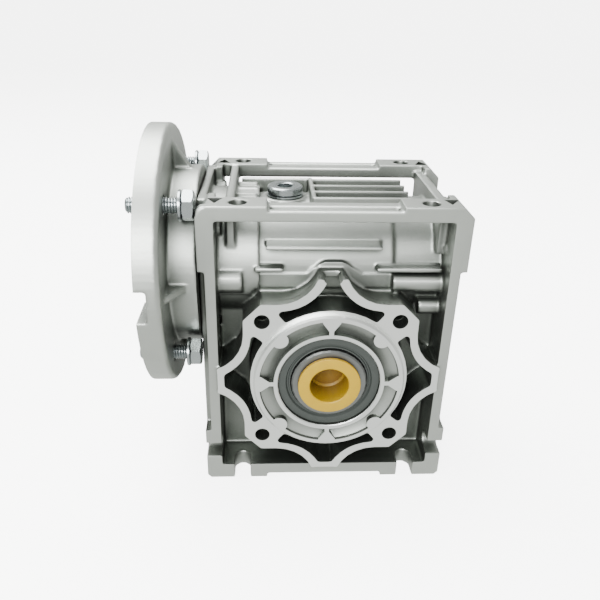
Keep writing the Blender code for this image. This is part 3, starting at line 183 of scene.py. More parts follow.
def moulded(name, light, dark, roughness, mottle_mm, grain_mm, ior, subsurface=0.0, recess=None):
    """A moulded rubber or plastic: close colours, a fine skin texture and a soft sheen."""
    material = blank_material(name)
    place = add_node(material, "ShaderNodeTexCoord")
    mottle = add_node(material, "ShaderNodeTexNoise", None, {"Vector": place.outputs["Object"]},
                      Scale=1 / (mottle_mm * MM), Detail=2.0)
    grain = add_node(material, "ShaderNodeTexNoise", None, {"Vector": place.outputs["Object"]},
                     Scale=1 / (grain_mm * MM), Detail=2.0)
    colour = add_node(material, "ShaderNodeMix", {"data_type": "RGBA"}, {"Factor": mottle.outputs["Fac"]})
    colour.inputs["A"].default_value = linear(dark)
    colour.inputs["B"].default_value = linear(light)
    # Painted shade: a darker colour in hollows, from how near other material stands.
    if recess:
        colour = painted_recess_shade(material, colour, recess, CAP_SHADE_REACH)
    bump = add_node(material, "ShaderNodeBump", links={"Height": grain.outputs["Fac"]},
                    Strength=0.3, Distance=0.02 * MM)
    shader = add_node(material, "ShaderNodeBsdfPrincipled", links={
        "Base Color": colour.outputs["Result"], "Normal": bump.outputs["Normal"]}, Roughness=roughness)
    shader.inputs["IOR"].default_value = ior
    shader.inputs["Subsurface Weight"].default_value = subsurface
    shader.inputs["Subsurface Scale"].default_value = 1.5 * MM
    return finish_material(material, shader)


RUBBER = moulded("nitrile_rubber_black", "3A3F3C", "323734", 0.5, 3, 0.4, 1.52)
# 4E300E is painted shade inside the caps' hollows, not a colour of the plastic.
YELLOW = moulded("amber_polyethylene", "BD9A14", "B08D10", 0.42, 4, 0.6, 1.51, 0.03, "4E300E")
SLOT_MATERIALS = {
    "die_cast_aluminium": CAST, "ground_steel": STEEL, "zinc_plated_steel": ZINC, "cast_iron": IRON,
    "tin_bronze": BRONZE, "nitrile_rubber": RUBBER, "yellow_polyethylene": YELLOW,
}

# %% [markdown]
# The bearings, the worm, the wheel and other inner parts stay as the CAD has them.
# Each gets the finish of its slot in the record, so one loop does them all and none is left plain.

# %% Materials on the carried-over CAD nodes
def slot_of(node):
    """The record's material slot of a CAD node, or None."""
    for material in nodes[node].data.materials:
        for slot in SLOT_MATERIALS:
            if material and material.name.startswith(slot):
                return slot
    return None


for name, node in nodes.items():
    slot = slot_of(name)
    if slot is None:
        print("no slot for", name, [m.name for m in node.data.materials])
        continue
    node.data.materials.clear()
    node.data.materials.append(SLOT_MATERIALS[slot])
    node["finish_slot"] = slot

# %% [markdown]
# New pieces are modelled with bmesh in millimetres, and made metres as they become objects.
# A turned piece is half a profile spun round its axis, as on a lathe.
# A plate is one outline extruded, as sawn from sheet.
# Ready-made primitives alone would give no grooves or lips, so most round pieces are spun profiles.

# %% Modelling helpers
AXES = {"X": Vector((1, 0, 0)), "Y": Vector((0, 1, 0)), "Z": Vector((0, 0, 1))}


def new_object(name, bm, material, sharp_degrees=35):
    """An object from a bmesh in millimetres, with its faces outwards and its edges shaded by angle."""
    bmesh.ops.remove_doubles(bm, verts=bm.verts, dist=1e-4)
    bmesh.ops.recalc_face_normals(bm, faces=bm.faces)
    bmesh.ops.scale(bm, vec=(MM, MM, MM), verts=bm.verts)
    mesh = bpy.data.meshes.new(name)
    bm.to_mesh(mesh)
    bm.free()
    mesh.materials.append(material)
    mesh.shade_smooth()
    mesh.set_sharp_from_angle(angle=math.radians(sharp_degrees))
    piece = bpy.data.objects.new(name, mesh)
    bpy.context.scene.collection.objects.link(piece)
    return piece


def turned(name, axis, centre, profile, material=None, steps=128):
    """A closed profile of (along, radius) points in mm, spun round an axis of the frame through centre."""
    bm = bmesh.new()
    along = AXES[axis]
    out = AXES["Z"] if axis != "Z" else AXES["X"]
    centre = Vector(centre)
    centre = centre - along * centre.dot(along)
    points = [bm.verts.new(centre + along * a + out * r) for a, r in profile]
    on_axis = profile[0][1] == 0 and profile[-1][1] == 0
    pairs = list(zip(points, points[1:])) + ([] if on_axis else [(points[-1], points[0])])
    edges = [bm.edges.new(pair) for pair in pairs]
    bmesh.ops.spin(bm, geom=edges + points, cent=centre, axis=along, angle=math.tau, steps=steps,
                   use_merge=True)
    bmesh.ops.dissolve_degenerate(bm, dist=1e-5, edges=bm.edges)
    return new_object(name, bm, material or CAST)


def plate(name, axis, outline, start, end, material=None):
    """An outline of (across, up) points in mm, extruded along an axis from start to end."""
    bm = bmesh.new()
    if axis == "Y":
        corners = [bm.verts.new((u, start, w)) for u, w in outline]
    elif axis == "X":
        corners = [bm.verts.new((start, u, w)) for u, w in outline]
    else:
        corners = [bm.verts.new((u, w, start)) for u, w in outline]
    face = bm.faces.new(corners)
    grown = bmesh.ops.extrude_face_region(bm, geom=[face])
    moved = [v for v in grown["geom"] if isinstance(v, bmesh.types.BMVert)]
    bmesh.ops.translate(bm, vec=AXES[axis] * (end - start), verts=moved)
    return new_object(name, bm, material or CAST)


def box(name, x, y, z, material=None):
    """A rectangular block from its ranges in mm."""
    return plate(name, "Z", [(x[0], y[0]), (x[1], y[0]), (x[1], y[1]), (x[0], y[1])], z[0], z[1], material)


def rod(name, axis, centre, radius, start, end, material=None, steps=96):
    """A plain round bar between two places along its axis."""
    along = AXES[axis]
    centre = Vector(centre)
    bm = bmesh.new()
    bmesh.ops.create_cone(bm, cap_ends=True, segments=steps, radius1=radius, radius2=radius,
                          depth=end - start)
    turn = Vector((0, 0, 1)).rotation_difference(along).to_matrix()
    bmesh.ops.rotate(bm, cent=(0, 0, 0), matrix=turn, verts=bm.verts)
    place = centre - along * centre.dot(along) + along * (start + end) / 2
    bmesh.ops.translate(bm, vec=place, verts=bm.verts)
    return new_object(name, bm, material or CAST)


def tube(name, axis, centre, outer, inner, start, end, material=None, steps=128):
    """A ring between two radii."""
    profile = [(start, inner), (start, outer), (end, outer), (end, inner)]
    return turned(name, axis, centre, profile, material, steps)


def arc_points(centre, radius, start, end, steps):
    """Points along a circular arc, angles in degrees."""
    angles = [math.radians(start + (end - start) * i / steps) for i in range(steps + 1)]
    return [(centre[0] + radius * math.cos(a), centre[1] + radius * math.sin(a)) for a in angles]


def joined(first, others):
    """Puts the meshes of the others into the first, and removes them."""
    bm = bmesh.new()
    bm.from_mesh(first.data)
    for other in others:
        bm.from_mesh(other.data)
        mesh = other.data
        bpy.data.objects.remove(other)
        bpy.data.meshes.remove(mesh)
    bm.to_mesh(first.data)
    bm.free()
    return first


def use_modifier(piece, kind, **settings):
    """Adds a modifier with its settings and applies it to the mesh."""
    modifier = piece.modifiers.new(kind.title(), kind)
    for name, value in settings.items():
        setattr(modifier, name, value)
    bpy.context.view_layer.update()
    graph = bpy.context.evaluated_depsgraph_get()
    mesh = bpy.data.meshes.new_from_object(piece.evaluated_get(graph), depsgraph=graph)
    old = piece.data
    piece.modifiers.clear()
    piece.data = mesh
    mesh.name = piece.name
    bpy.data.meshes.remove(old)
    return piece


def boolean(piece, operation, others):
    """Cuts the others from the piece, or joins them to it, one after another, then removes them."""
    for other in others:
        use_modifier(piece, "BOOLEAN", operation=operation, solver="MANIFOLD", object=other,
                     material_mode="TRANSFER")
        mesh = other.data
        bpy.data.objects.remove(other)
        bpy.data.meshes.remove(mesh)
    return piece


def shade(piece, degrees=30):
    """Smooth shading, with edges sharper than this angle kept crisp."""
    piece.data.shade_smooth()
    piece.data.set_sharp_from_angle(angle=math.radians(degrees))
    return piece


def merged_copy(name, node):
    """A copy of a CAD node's mesh with its loose triangles joined. The node itself stays as it is."""
    bm = bmesh.new()
    bm.from_mesh(nodes[node].data)
    bmesh.ops.remove_doubles(bm, verts=bm.verts, dist=1e-7)
    bmesh.ops.scale(bm, vec=(1 / MM,) * 3, verts=bm.verts)
    return new_object(name, bm, CAST)


def soften(piece, voxel_mm, rounds, most_triangles):
    """Turns a hard union of shapes into one casting: remeshed, smoothed at its edges, then thinned."""
    use_modifier(piece, "REMESH", mode="VOXEL", voxel_size=voxel_mm * MM, adaptivity=0.0)
    bm = bmesh.new()
    bm.from_mesh(piece.data)
    for _ in range(rounds):
        bmesh.ops.smooth_vert(bm, verts=bm.verts, factor=0.5,
                              use_axis_x=True, use_axis_y=True, use_axis_z=True)
    bm.to_mesh(piece.data)
    count = sum(len(f.verts) - 2 for f in bm.faces)
    bm.free()
    if count > most_triangles:
        use_modifier(piece, "DECIMATE", decimate_type="COLLAPSE", ratio=most_triangles / count)
    low, high = cad_box
    for vertex in piece.data.vertices:
        vertex.co = [min(max(value, least), most) for value, least, most in zip(vertex.co, low, high)]
    if not piece.data.materials:
        piece.data.materials.append(CAST)
    left = sum(len(polygon.vertices) - 2 for polygon in piece.data.polygons)
    print(piece.name, "cast from", count, "triangles to", left)
    return piece


def placed(piece, slot, body, *replaced):
    """Gives a finished piece its body, and hides the CAD nodes that it stands for. slot is not used."""
    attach(piece, body)
    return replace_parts(piece, *replaced)


# %% [markdown]
# The housing is one aluminium pressure die casting: an open frame, a worm tunnel, and a hub that
# star-shaped walls carry.
# A hard Boolean union looks cut from sheet, because a casting has no sharp inner corners.
# So the CAD shape and finer round shapes are joined, remeshed together and smoothed, which rounds every
# corner a little. Bevels on every edge would do the same, but they fail where many walls meet.
# The faces that a machine shop cuts are cut afterwards, so that they stay flat, bright and sharp-edged.

# %% Shapes of the star and the tunnel skirt
VOXEL = 0.5
SMOOTH_ROUNDS = 4
HUB_FACE = -36.5
PILOT_FACE = -39.0
PILOT_RADIUS = 30.0
SEAL_SEAT = 20.05
SEAL_DEPTH = 30.2
BODY_FRONT = -20.0
ARM_OUTER = 16.4
ARM_INNER = 19.1
SCALLOP = (20, 50)
HUB_BOLT = 26.5
MOUNT_HOLE = (35, 30)
QUARTERS = [math.radians(90 * turn) for turn in range(4)]


def star_outline():
    """The outer line of the star, in mm: four scalloped arms between four bolt bosses."""
    quarter = [(4.2, 44.6)] + arc_points(SCALLOP, ARM_OUTER, 199, 270, 10) + [(27, 33.7), (33.7, 27)]
    quarter += arc_points(SCALLOP[::-1], ARM_OUTER, 180, 251, 10)
    points = []
    for angle in QUARTERS:
        cos, sin = math.cos(-angle), math.sin(-angle)
        points += [(u * cos - w * sin, OUTPUT_AXIS.z + u * sin + w * cos) for u, w in quarter]
    return points


def skirt_height(x):
    """How high the skirt's lower edge is: flat at both sides, and an ogee up over the star's top arm."""
    t = min(max((abs(x - 1) - 3) / 17, 0), 1) ** 0.85
    return 96.7 - 10.9 * t * t * (3 - 2 * t)


SKIRT_EDGE = [(x, skirt_height(x)) for x in [-29.2 + 1.345 * i for i in range(41)]]
RECESS = ([(-43.4, 60), (-43.4, 83), (-30.5, 83)] + SKIRT_EDGE
          + [(24.6, 83), (28, 83), (34.5, 74), (43.4, 74), (43.4, 60)])


def recess_cutter():
    """What is missing below the skirt and round the star. The bearing walls stay whole."""
    cutter = plate("recess", "Y", RECESS, -33, BODY_FRONT)
    keep = [plate("star", "Y", star_outline(), -34, -19)]
    for name, radius, start, end in (("input_wall", 25.6, -46, -27.3), ("tunnel_wall", 21.9, -30, 26),
                                     ("rear_wall", 22.2, 23.3, 46)):
        keep.append(rod(name, "X", WORM_AXIS, radius, start, end))
    return boolean(cutter, "DIFFERENCE", keep)


def turned_about_output(piece, angle):
    """Turns a piece modelled about the origin, and lifts it to the output axis."""
    piece.data.transform(Matrix.Translation(OUTPUT_AXIS * MM) @ Matrix.Rotation(angle, 4, "Y"))
    return piece


print("star outline points", len(star_outline()))

# %% [markdown]
# The faces of a CAD cylinder are flat strips, so a finer skin goes round each bearing boss, the tunnel
# and the hub. The skirt is the ogee line where the star's top arm runs into the tunnel.
# Bands give the star's arms an even width.
# The CAD's hub face is moved out first, and machined back to size later, as stock is left on a real casting.

# %% Housing: the casting
STOCK = 1.0
housing = merged_copy("gear_housing", "housing")
for vertex in housing.data.vertices:
    if vertex.co.y < (HUB_FACE + 0.1) * MM:
        vertex.co.y -= STOCK * MM
boolean(housing, "DIFFERENCE", [recess_cutter()])
fine = []
for outer, start, end in ((27.54, -47, -27.4), (25.04, -28, 24), (24.04, 23.25, 50.4)):
    skin = tube("boss", "X", WORM_AXIS, outer, outer - 1, start, end)
    fine.append(boolean(skin, "DIFFERENCE", [recess_cutter()]))
root_edge = [(x, z - 0.3) for x, z in SKIRT_EDGE if abs(x) < 28]
corner = arc_points((-46.9, 118.4), 3, 180, 90, 6)
fine += [
    plate("skirt", "Y", SKIRT_EDGE + [(24.6, 91.5), (-29.2, 91.5)], -25.5, -18.5),
    tube("hub_ring", "Y", OUTPUT_AXIS, PILOT_RADIUS + 0.3, 20.4, -40, -30.8),
    tube("hub_skin", "Y", OUTPUT_AXIS, PILOT_RADIUS + 0.3, 28.5, -38, -21),
    box("plug_wall_rear", (-35.2, -5.2), (14.9, 17), (106, 117.9)),
    box("plug_wall_side", (-7.2, -5.2), (-12.6, 17), (108, 117.9)),
    plate("arm_root", "Y", root_edge + [(27.5, 82.5), (-27.5, 82.5)], -24.9, -20.4),
]
for angle in QUARTERS:
    for side, first, last in ((1, 203, 269), (-1, 337, 271)):
        centre = (side * SCALLOP[0], SCALLOP[1])
        band = (arc_points(centre, ARM_OUTER + 0.1, first, last, 12)
                + arc_points(centre, ARM_INNER, last, first, 12))
        fine.append(turned_about_output(plate("arm", "Y", band, -37, -21), angle))
fine.append(plate("front_corner", "Y", [(-49.9, 112)] + corner + [(-43, 112)], -35.4, -31.5))
fine.append(rod("wall_boss", "X", (0, -27.4, 102.8), 1.6, 42.3, 44.5))
joined(housing, fine)
soften(housing, VOXEL, SMOOTH_ROUNDS, 170000)

# %% [markdown]
# On the real part, the star's face and the pilot are milled and turned, and the holes are drilled.
# A remesh would round these edges, so each is one clean cut into the finished casting.
# The cutter's own material is carried over to the faces that it leaves, so they are bright like fresh metal.

# %% Housing: the machined faces
def bevelled_bore(name, radius, bottom, face, way):
    """A turned seat with a 0.6 mm bevel at its mouth. way is -1 for the front hub and +1 for the rear hub."""
    profile = [(bottom, 0), (bottom, radius), (face - 0.6, radius), (face, radius + 0.6),
               (46, radius + 0.6), (46, 0)]
    return turned(name, "Y", OUTPUT_AXIS, [(way * t, r) for t, r in profile], MACHINED, 160)


def drilled(name, axis, places, radius, start, end, material):
    """Several equal holes as one cutter."""
    holes = [rod(name, axis, place, radius, start, end, material, 48) for place in places]
    return joined(holes[0], holes[1:])


hub_mill = boolean(box("mill", (-46, 46), (-46, HUB_FACE), (4, 96.5), MACHINED), "DIFFERENCE",
                   [rod("pilot", "Y", OUTPUT_AXIS, PILOT_RADIUS, -50, -30, MACHINED, 160)])
pilot_mill = turned("pilot_mill", "Y", OUTPUT_AXIS, [
    (PILOT_FACE, 0), (PILOT_FACE, PILOT_RADIUS - 0.7), (PILOT_FACE + 0.7, PILOT_RADIUS),
    (PILOT_FACE + 0.7, 33), (-46, 33), (-46, 0)], MACHINED, 160)
groove = turned("groove", "Y", OUTPUT_AXIS, [(-41, 28.4), (-41, 22), (-36.0, 22), (-36.2, 24), (-37.9, 27.4)],
                CAST, 160)
web_outline = [(-0.9, 20), (0.9, 20), (0.9, 23.6), (3.4, 27), (4, 30), (-4, 30), (-3.4, 27), (-0.9, 23.6)]
PAD_REACH = 27.8 * math.sin(math.radians(45))
webs = []
for angle in QUARTERS:
    webs.append(turned_about_output(plate("web", "Y", web_outline, -42, -30), angle))
    webs.append(turned_about_output(rod("pad", "Y", (PAD_REACH, 0, PAD_REACH), 3.3, -42, -30), angle))
boolean(groove, "DIFFERENCE", webs)

low_z, high_z = OUTPUT_AXIS.z - HUB_BOLT, OUTPUT_AXIS.z + HUB_BOLT
hub_holes = [(-HUB_BOLT, 0, high_z), (HUB_BOLT, 0, high_z), (-HUB_BOLT, 0, low_z), (HUB_BOLT, 0, low_z)]
across, along = MOUNT_HOLE
top_holes = [(-across, -along, 0), (across, -along, 0), (-across, along, 0), (across, along, 0)]
pockets = [plate("pocket", "Z", corners, 117.5, 125) for corners in (
    [(-46.2, -25.6), (-40.4, -25.6), (-43.2, -31.6)], [(46.2, -25.6), (40.4, -25.6), (42.2, -31.6)],
    [(-46.2, 25.6), (-40.4, 25.6), (-43.2, 31.6)], [(46.2, 25.6), (40.4, 25.6), (43.2, 31.6)])]
boolean(housing, "DIFFERENCE", [
    hub_mill,
    pilot_mill,
    groove,
    bevelled_bore("seal_bore", SEAL_SEAT, SEAL_DEPTH, 39.1, -1),
    drilled("hub_hole", "Y", hub_holes, 3.05, -46, -29.5, CAST),
    drilled("top_hole", "Z", top_holes, 3.3, 110, 125, CAST),
    joined(pockets[0], pockets[1:]),
])
placed(shade(housing), "die_cast_aluminium", "casing", "housing")
print(housing.name, len(housing.data.polygons), "faces", [m.name for m in housing.data.materials])

# %% [markdown]
# The motor flange is a second casting: a round disc with a pilot recess for the motor, on a short neck.
# Four thin webs stiffen the disc. One spun profile wouldn't do, because the webs and the rim slots aren't
# round, so it is cast like the housing. Its face and pilot are turned after casting, so they are cut last.

# %% Input flange
FLANGE_FACE = -70
MOTOR_BOLT_CIRCLE = 85
flange = merged_copy("motor_flange", "input_flange")
for vertex in flange.data.vertices:
    if vertex.co.x < (FLANGE_FACE + 0.8) * MM:
        vertex.co.x -= 0.6 * MM
slots = [box("slot", (-74, -66), across, (84, 96)) for across in ((-60, -34), (34, 60))]
disc_skin = boolean(tube("disc", "X", WORM_AXIS, 52.5, 50, FLANGE_FACE - 0.6, -62.6), "DIFFERENCE", slots)
joined(flange, [disc_skin, tube("neck", "X", WORM_AXIS, 36.04, 34, -62, -50.3)])
soften(flange, VOXEL, SMOOTH_ROUNDS, 110000)
bolt_places = [(0, u, w) for u, w in arc_points((0, WORM_AXIS.z), MOTOR_BOLT_CIRCLE / 2, 45, 315, 3)]
boolean(flange, "DIFFERENCE", [
    box("facing", (-75, FLANGE_FACE), (-60, 60), (30, 150), MACHINED),
    rod("pilot", "X", WORM_AXIS, 35.05, -75, -65.5, MACHINED, 160),
    rod("bore", "X", WORM_AXIS, 14.55, -75, -49, MACHINED, 96),
    drilled("bolt_hole", "X", bolt_places, 3.52, -73, -58, MACHINED),
])
placed(shade(flange), "die_cast_aluminium", "casing", "input_flange")

# %% [markdown]
# The rear cover is a cast disc with a hub like the front one, let into the housing and held by four screws.
# It is cast from its CAD shape as it is. Only its seal seat and the end of its pilot are turned.

# %% Rear cover
cover = merged_copy("rear_cover_casting", "rear_cover")
soften(cover, VOXEL, 3, 110000)
boolean(cover, "DIFFERENCE", [
    bevelled_bore("seal_bore", SEAL_SEAT, SEAL_DEPTH, 39.1, 1),
    rod("pilot_face", "Y", OUTPUT_AXIS, 33, 38.9, 46, MACHINED, 160),
])
placed(shade(cover), "die_cast_aluminium", "casing", "rear_cover")

# %% [markdown]
# The motor bolts are M6 hexagon head bolts in bright zinc, held loose in the flange until a motor arrives.
# A thread is one V-shaped pitch of profile, spun round the axis while it moves along: the spin operator's
# dvec does that. Stacked rings would look the same from afar, but they aren't a helix.
# The long thread is cut to length by two planes, its ends are filled, and a turned blank gives it a chamfer.
# The eight socket screws that hold the flange and the cover are turned, with a hexagon key hole cut in.

# %% Threads, screws and washers
THREAD_DEPTH = 0.61  # pitches, as in an ISO metric thread
BOLT_RADIUS, BOLT_PITCH, BOLT_HEAD, BOLT_FLATS = 3, 1, 4, 10
HEAD_TO_SHANK, KEY_TO_SHANK = 1.75, 1.67  # a socket screw's head and key, in shank radii


def threaded_bar(name, centre, radius, pitch, start, end, steps=24):
    """A right-hand threaded bar along X, in mm, with a chamfered tip at its start."""
    root = radius - THREAD_DEPTH * pitch
    turns = math.ceil((end - start) / pitch) + 2
    bm = bmesh.new()
    shape = [(0, root), (0.42, radius), (0.58, radius), (1, root)]
    row = [bm.verts.new((start + (along - 1.2) * pitch, centre[1], centre[2] + r)) for along, r in shape]
    edges = [bm.edges.new(pair) for pair in zip(row, row[1:])]
    bmesh.ops.spin(bm, geom=row + edges, cent=centre, axis=(1, 0, 0), dvec=(pitch / steps, 0, 0),
                   angle=math.tau * turns, steps=steps * turns, use_merge=False)
    bmesh.ops.remove_doubles(bm, verts=bm.verts, dist=2e-3)
    for place, way in ((start, -1), (end, 1)):
        bmesh.ops.bisect_plane(bm, geom=bm.verts[:] + bm.edges[:] + bm.faces[:], dist=1e-5,
                               plane_co=(place, 0, 0), plane_no=(way, 0, 0), clear_outer=True)
    bmesh.ops.holes_fill(bm, edges=[e for e in bm.edges if e.is_boundary])
    bmesh.ops.triangulate(bm, faces=[f for f in bm.faces if len(f.verts) > 4])
    bar = new_object(name, bm, ZINC)
    blank = turned("blank", "X", centre, [(start, 0), (start, root - 0.2), (start + 0.9, radius + 0.1),
                                          (end, radius + 0.1), (end, 0)], ZINC, 48)
    return boolean(bar, "INTERSECT", [blank])


def hexagon(across_flats, turn=0):
    """The six corners of a hexagon, in mm, about (0, 0)."""
    return arc_points((0, 0), across_flats / math.sqrt(3), turn, turn + 300, 5)


def box_mm(node):
    """The lowest and highest corners of a CAD node, in mm."""
    return [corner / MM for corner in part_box(node)]


for number in range(1, 5):
    body = f"loose_bolt_{number}"
    low, high = box_mm(f"motor_bolt_{number}")
    centre = Vector((0, (low.y + high.y) / 2, (low.z + high.z) / 2))
    seat = high.x - BOLT_HEAD
    corners = [(centre.y + u, centre.z + w) for u, w in hexagon(BOLT_FLATS, 30)]
    head = plate("head", "X", corners, seat, high.x, ZINC)
    cone = turned("cone", "X", centre, [
        (seat, 0), (seat, 4.9), (seat + 0.5, 5.9), (high.x - 0.6, 5.9), (high.x, 4.8), (high.x, 0)], ZINC, 64)
    boolean(head, "INTERSECT", [cone])
    bolt = threaded_bar(f"motor_bolt_m6_{number}", centre, BOLT_RADIUS, BOLT_PITCH, low.x, seat + 0.6)
    boolean(bolt, "UNION", [head])
    placed(shade(bolt, 28), "zinc_plated_steel", body, f"motor_bolt_{number}")
    low, high = box_mm(f"motor_bolt_{number}_washer")
    outer = (high.y - low.y) / 2
    washer = turned(f"motor_bolt_washer_{number}", "X", centre, [
        (low.x, 3.3), (low.x, outer - 0.2), (low.x + 0.2, outer), (high.x - 0.25, outer),
        (high.x, outer - 0.35), (high.x, 3.3)], ZINC, 64)
    placed(washer, "zinc_plated_steel", body, f"motor_bolt_{number}_washer")
print("motor bolts", len(bolt.data.polygons), "faces each")


def socket_screw(name, node, axis, way):
    """A socket head cap screw in a CAD screw's place. way is +1 where its head is at the high end."""
    low, high = box_mm(node)
    along = AXES[axis]
    centre = (low + high) / 2
    head_radius = (high.z - low.z) / 2
    radius = head_radius / HEAD_TO_SHANK
    top, tip = (high.dot(along), low.dot(along)) if way > 0 else (low.dot(along), high.dot(along))
    seat = top - way * 2 * radius
    screw = turned(name, axis, centre, [
        (top, 0), (top, head_radius - 0.5), (top - way * 0.5, head_radius), (seat, head_radius),
        (seat, radius), (tip + way * 0.5, radius), (tip, radius - 0.4), (tip, 0)], ZINC, 48)
    middle = centre.y if axis == "X" else centre.x
    flat = [(middle + u, centre.z + w) for u, w in hexagon(radius * KEY_TO_SHANK)]
    start, end = sorted((top + way, top - way * 1.1 * radius))
    boolean(screw, "DIFFERENCE", [plate("key", axis, flat, start, end, ZINC)])
    return placed(shade(screw), "zinc_plated_steel", "casing", node)


for number in range(1, 5):
    socket_screw(f"flange_screw_m6_{number}", f"input_flange_screw_{number}", "X", -1)
    socket_screw(f"cover_screw_m4_{number}", f"rear_cover_screw_{number}", "Y", 1)

# %% [markdown]
# The filler plug is a turned steel plug with a hexagon socket, screwed down on a sealing washer.
# One profile gives its shank, the small step under the head and the rounded rim, and the socket is cut last.

# %% Filler plug
low, high = box_mm("filler_plug")
plug_axis = (low + high) / 2
plug = turned("oil_filler_plug", "Z", plug_axis, [
    (low.z, 0), (low.z, 4.3), (low.z + 0.7, 4.95), (high.z - 2.9, 4.95), (high.z - 2.9, 6.75),
    (high.z - 2.7, 7), (high.z - 0.6, 7), (high.z - 0.35, 6.85), (high.z, 6.3), (high.z, 3.9),
    (high.z - 0.3, 3.6), (high.z - 0.3, 0)],
    ZINC, 128)
key = [(plug_axis.x + u, plug_axis.y + w) for u, w in hexagon(5.8, 12)]
boolean(plug, "DIFFERENCE", [plate("key", "Z", key, high.z - 4, high.z + 1, ZINC)])
placed(shade(plug), "zinc_plated_steel", "casing", "filler_plug")
print(plug.name, len(plug.data.polygons), "faces")

# %% [markdown]
# Rotary shaft seals are black nitrile rubber with a flat outer face, a dust lip and a sealing lip inside.
# Each is one closed profile, spun. The yellow caps are polyethylene cups pushed into the hollow shaft.
# They are thin cups with a rim, not solid plugs, because that is how they are moulded and pulled out again.

# %% Seals and bore caps
SEAL_FACE = 37.5


def shaft_seal(name, node, axis, centre, outer, inner, face, way):
    """A shaft seal whose outer face is at face. way points from the face into the bore."""
    profile = [(0, outer), (0, inner + 1.9), (0.5, inner + 1.6), (0.9, inner + 1.4), (0.9, inner + 0.9),
               (0.3, inner + 0.6), (0.2, inner + 0.15), (0.9, inner), (2.2, inner + 0.9), (4, inner + 1.2),
               (5.2, inner), (6.2, inner + 0.9), (7, inner + 1.2), (7, outer)]
    seal = turned(name, axis, centre, [(face + way * t, r) for t, r in profile], RUBBER, 128)
    return placed(shade(seal, 40), "nitrile_rubber", "casing", node)


shaft_seal("output_shaft_seal_front", "front_output_seal", "Y", OUTPUT_AXIS, 20, 15.3, -SEAL_FACE, 1)
shaft_seal("output_shaft_seal_rear", "rear_output_seal", "Y", OUTPUT_AXIS, 20, 15.3, SEAL_FACE, -1)
shaft_seal("input_shaft_seal", "input_oil_seal", "X", WORM_AXIS, 23.4, 12.8, -49.7, 1)

for side, way in (("front", -1), ("rear", 1)):
    profile = [(28.5, 0), (28.5, 6.9), (29.3, 7.7), (40.4, 7.7), (40.8, 8.1), (40.8, 11.9), (40.65, 12.25),
               (40.3, 12.4), (39.5, 12.4), (39.3, 12.2), (39.3, 8.7), (28, 8.7), (27.3, 8.1), (27.3, 0)]
    cap = turned(f"bore_cap_{side}", "Y", OUTPUT_AXIS, [(way * t, r) for t, r in profile], YELLOW, 128)
    placed(shade(cap, 40), "yellow_polyethylene", f"{side}_cap", f"{side}_bore_cap")
print("caps", len(cap.data.polygons), "faces each")

# %% [markdown]
# The gearbox stands on a pale seamless sweep, as in a small-parts studio.
# A flat floor would end in a horizon from some sides, so a floor and a wall all round are spun as one bowl.
# The paper glows, so that it stays nearly white, and the metal is lit by the room and two soft boxes.
# One is overhead, and the other is in front and higher than the object. The room is brighter low down,
# as where a pale table throws light back up.

# %% Floor and studio light
FLOOR_RADIUS, CURVE_RADIUS, WALL_TOP = 1500, 1000, 3000
PAPER_GLOW = 5.0


def paper(name, hex_value, glow):
    """White background paper with a fine fibre texture."""
    material = blank_material(name)
    place = add_node(material, "ShaderNodeTexCoord")
    fibre = add_node(material, "ShaderNodeTexNoise", None, {"Vector": place.outputs["Object"]}, Scale=400.0)
    bump = add_node(material, "ShaderNodeBump", links={"Height": fibre.outputs["Fac"]},
                    Strength=0.05, Distance=0.05 * MM)
    shader = add_node(material, "ShaderNodeBsdfPrincipled", links={"Normal": bump.outputs["Normal"]},
                      Roughness=0.8)
    shader.inputs["Base Color"].default_value = linear(hex_value)
    shader.inputs["Emission Color"].default_value = (1, 1, 1, 1)
    shader.inputs["Emission Strength"].default_value = glow
    return finish_material(material, shader)


def backdrop():
    """A floor that curves up into a wall all round, spun from one line in mm."""
    bm = bmesh.new()
    curve = arc_points((FLOOR_RADIUS, CURVE_RADIUS), CURVE_RADIUS, -80, 0, 8)
    path = [(0, 0), (FLOOR_RADIUS, 0)] + curve + [(FLOOR_RADIUS + CURVE_RADIUS, WALL_TOP)]
    row = [bm.verts.new((r, 0, z)) for r, z in path]
    edges = [bm.edges.new(pair) for pair in zip(row, row[1:])]
    bmesh.ops.spin(bm, geom=row + edges, cent=(0, 0, 0), axis=(0, 0, 1), angle=math.tau, steps=48,
                   use_merge=True)
    bmesh.ops.remove_doubles(bm, verts=bm.verts, dist=1e-3)
    if bm.faces[:][0].normal.z < 0:
        bmesh.ops.reverse_faces(bm, faces=bm.faces)
    bmesh.ops.scale(bm, vec=(MM, MM, MM), verts=bm.verts)
    mesh = bpy.data.meshes.new("paper_sweep")
    bm.to_mesh(mesh)
    bm.free()
    mesh.materials.append(paper("white_background_paper", "F4F5F3", PAPER_GLOW))
    mesh.shade_smooth()
    sweep = bpy.data.objects.new("paper_sweep", mesh)
    bpy.context.scene.collection.objects.link(sweep)
    return sweep


sweep = backdrop()
sweep.visible_glossy = False
sweep.visible_diffuse = False
sweep.visible_shadow = False


MIDDLE = Vector((0, 0, 0.06))


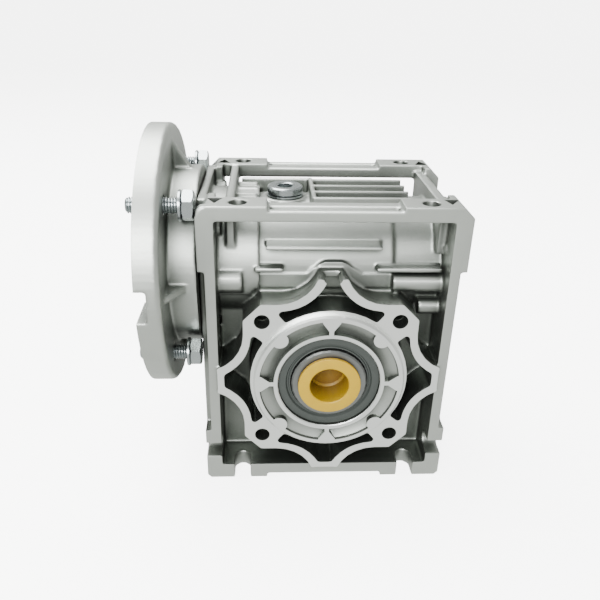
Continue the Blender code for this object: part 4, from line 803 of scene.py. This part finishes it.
def soft_box(name, place, size, power):
    """A white area light at place, in metres, aimed at the middle of the gearbox."""
    light = bpy.data.lights.new(name, "AREA")
    light.shape = "RECTANGLE"
    light.size, light.size_y = size
    light.energy = power
    lamp = bpy.data.objects.new(name, light)
    bpy.context.scene.collection.objects.link(lamp)
    lamp.location = place
    lamp.rotation_euler = (MIDDLE - Vector(place)).to_track_quat("-Z", "Y").to_euler()
    return lamp


soft_box("overhead_soft_box", (-0.25, 0.2, 0.9), (0.8, 0.7), 24)
soft_box("front_fill", (-0.35, -1.2, 0.75), (0.8, 0.6), 36)
world = bpy.data.worlds.new("studio_room")
world.use_nodes = True
bpy.context.scene.world = world
background = world.node_tree.nodes["Background"]
background.inputs["Color"].default_value = linear("F4F6F2")
where = add_node(world, "ShaderNodeTexCoord")
parts = add_node(world, "ShaderNodeSeparateXYZ", links={"Vector": where.outputs["Generated"]})
bounce = add_node(world, "ShaderNodeMapRange", links={"Value": parts.outputs["Z"]})
for name, value in (("From Min", -0.6), ("From Max", 0.3), ("To Min", 1.35), ("To Max", 0.75)):
    bounce.inputs[name].default_value = value
world.node_tree.links.new(bounce.outputs["Result"], background.inputs["Strength"])
print("lights", [light.name for light in bpy.data.lights])

# %% [markdown]
# The camera looks down at the front from a little to the left, near the object, with a normal lens.
# Its place, turn and focal length are fitted values. A tiny roll is kept, as when a camera is held by hand.

# %% Camera
PITCH, HEADING, ROLL = (math.radians(degrees) for degrees in (26.25, 3.20, 1.416))
PLACE = Vector((-0.02405, -0.24789, 0.19022))
FOCAL_LENGTH = 37.98
look = Vector((math.sin(HEADING) * math.cos(PITCH), math.cos(HEADING) * math.cos(PITCH), -math.sin(PITCH)))
level = Vector((math.cos(HEADING), -math.sin(HEADING), 0))
up = level.cross(look)
right = level * math.cos(ROLL) + up * math.sin(ROLL)
up = up * math.cos(ROLL) - level * math.sin(ROLL)
lens = bpy.data.cameras.new("studio_camera")
lens.lens = FOCAL_LENGTH
lens.sensor_width = 36
lens.clip_start = 0.01
camera = bpy.data.objects.new("studio_camera", lens)
camera.matrix_world = Matrix((
    (right.x, up.x, -look.x, PLACE.x), (right.y, up.y, -look.y, PLACE.y),
    (right.z, up.z, -look.z, PLACE.z), (0, 0, 0, 1)))
bpy.context.scene.collection.objects.link(camera)
bpy.context.scene.camera = camera
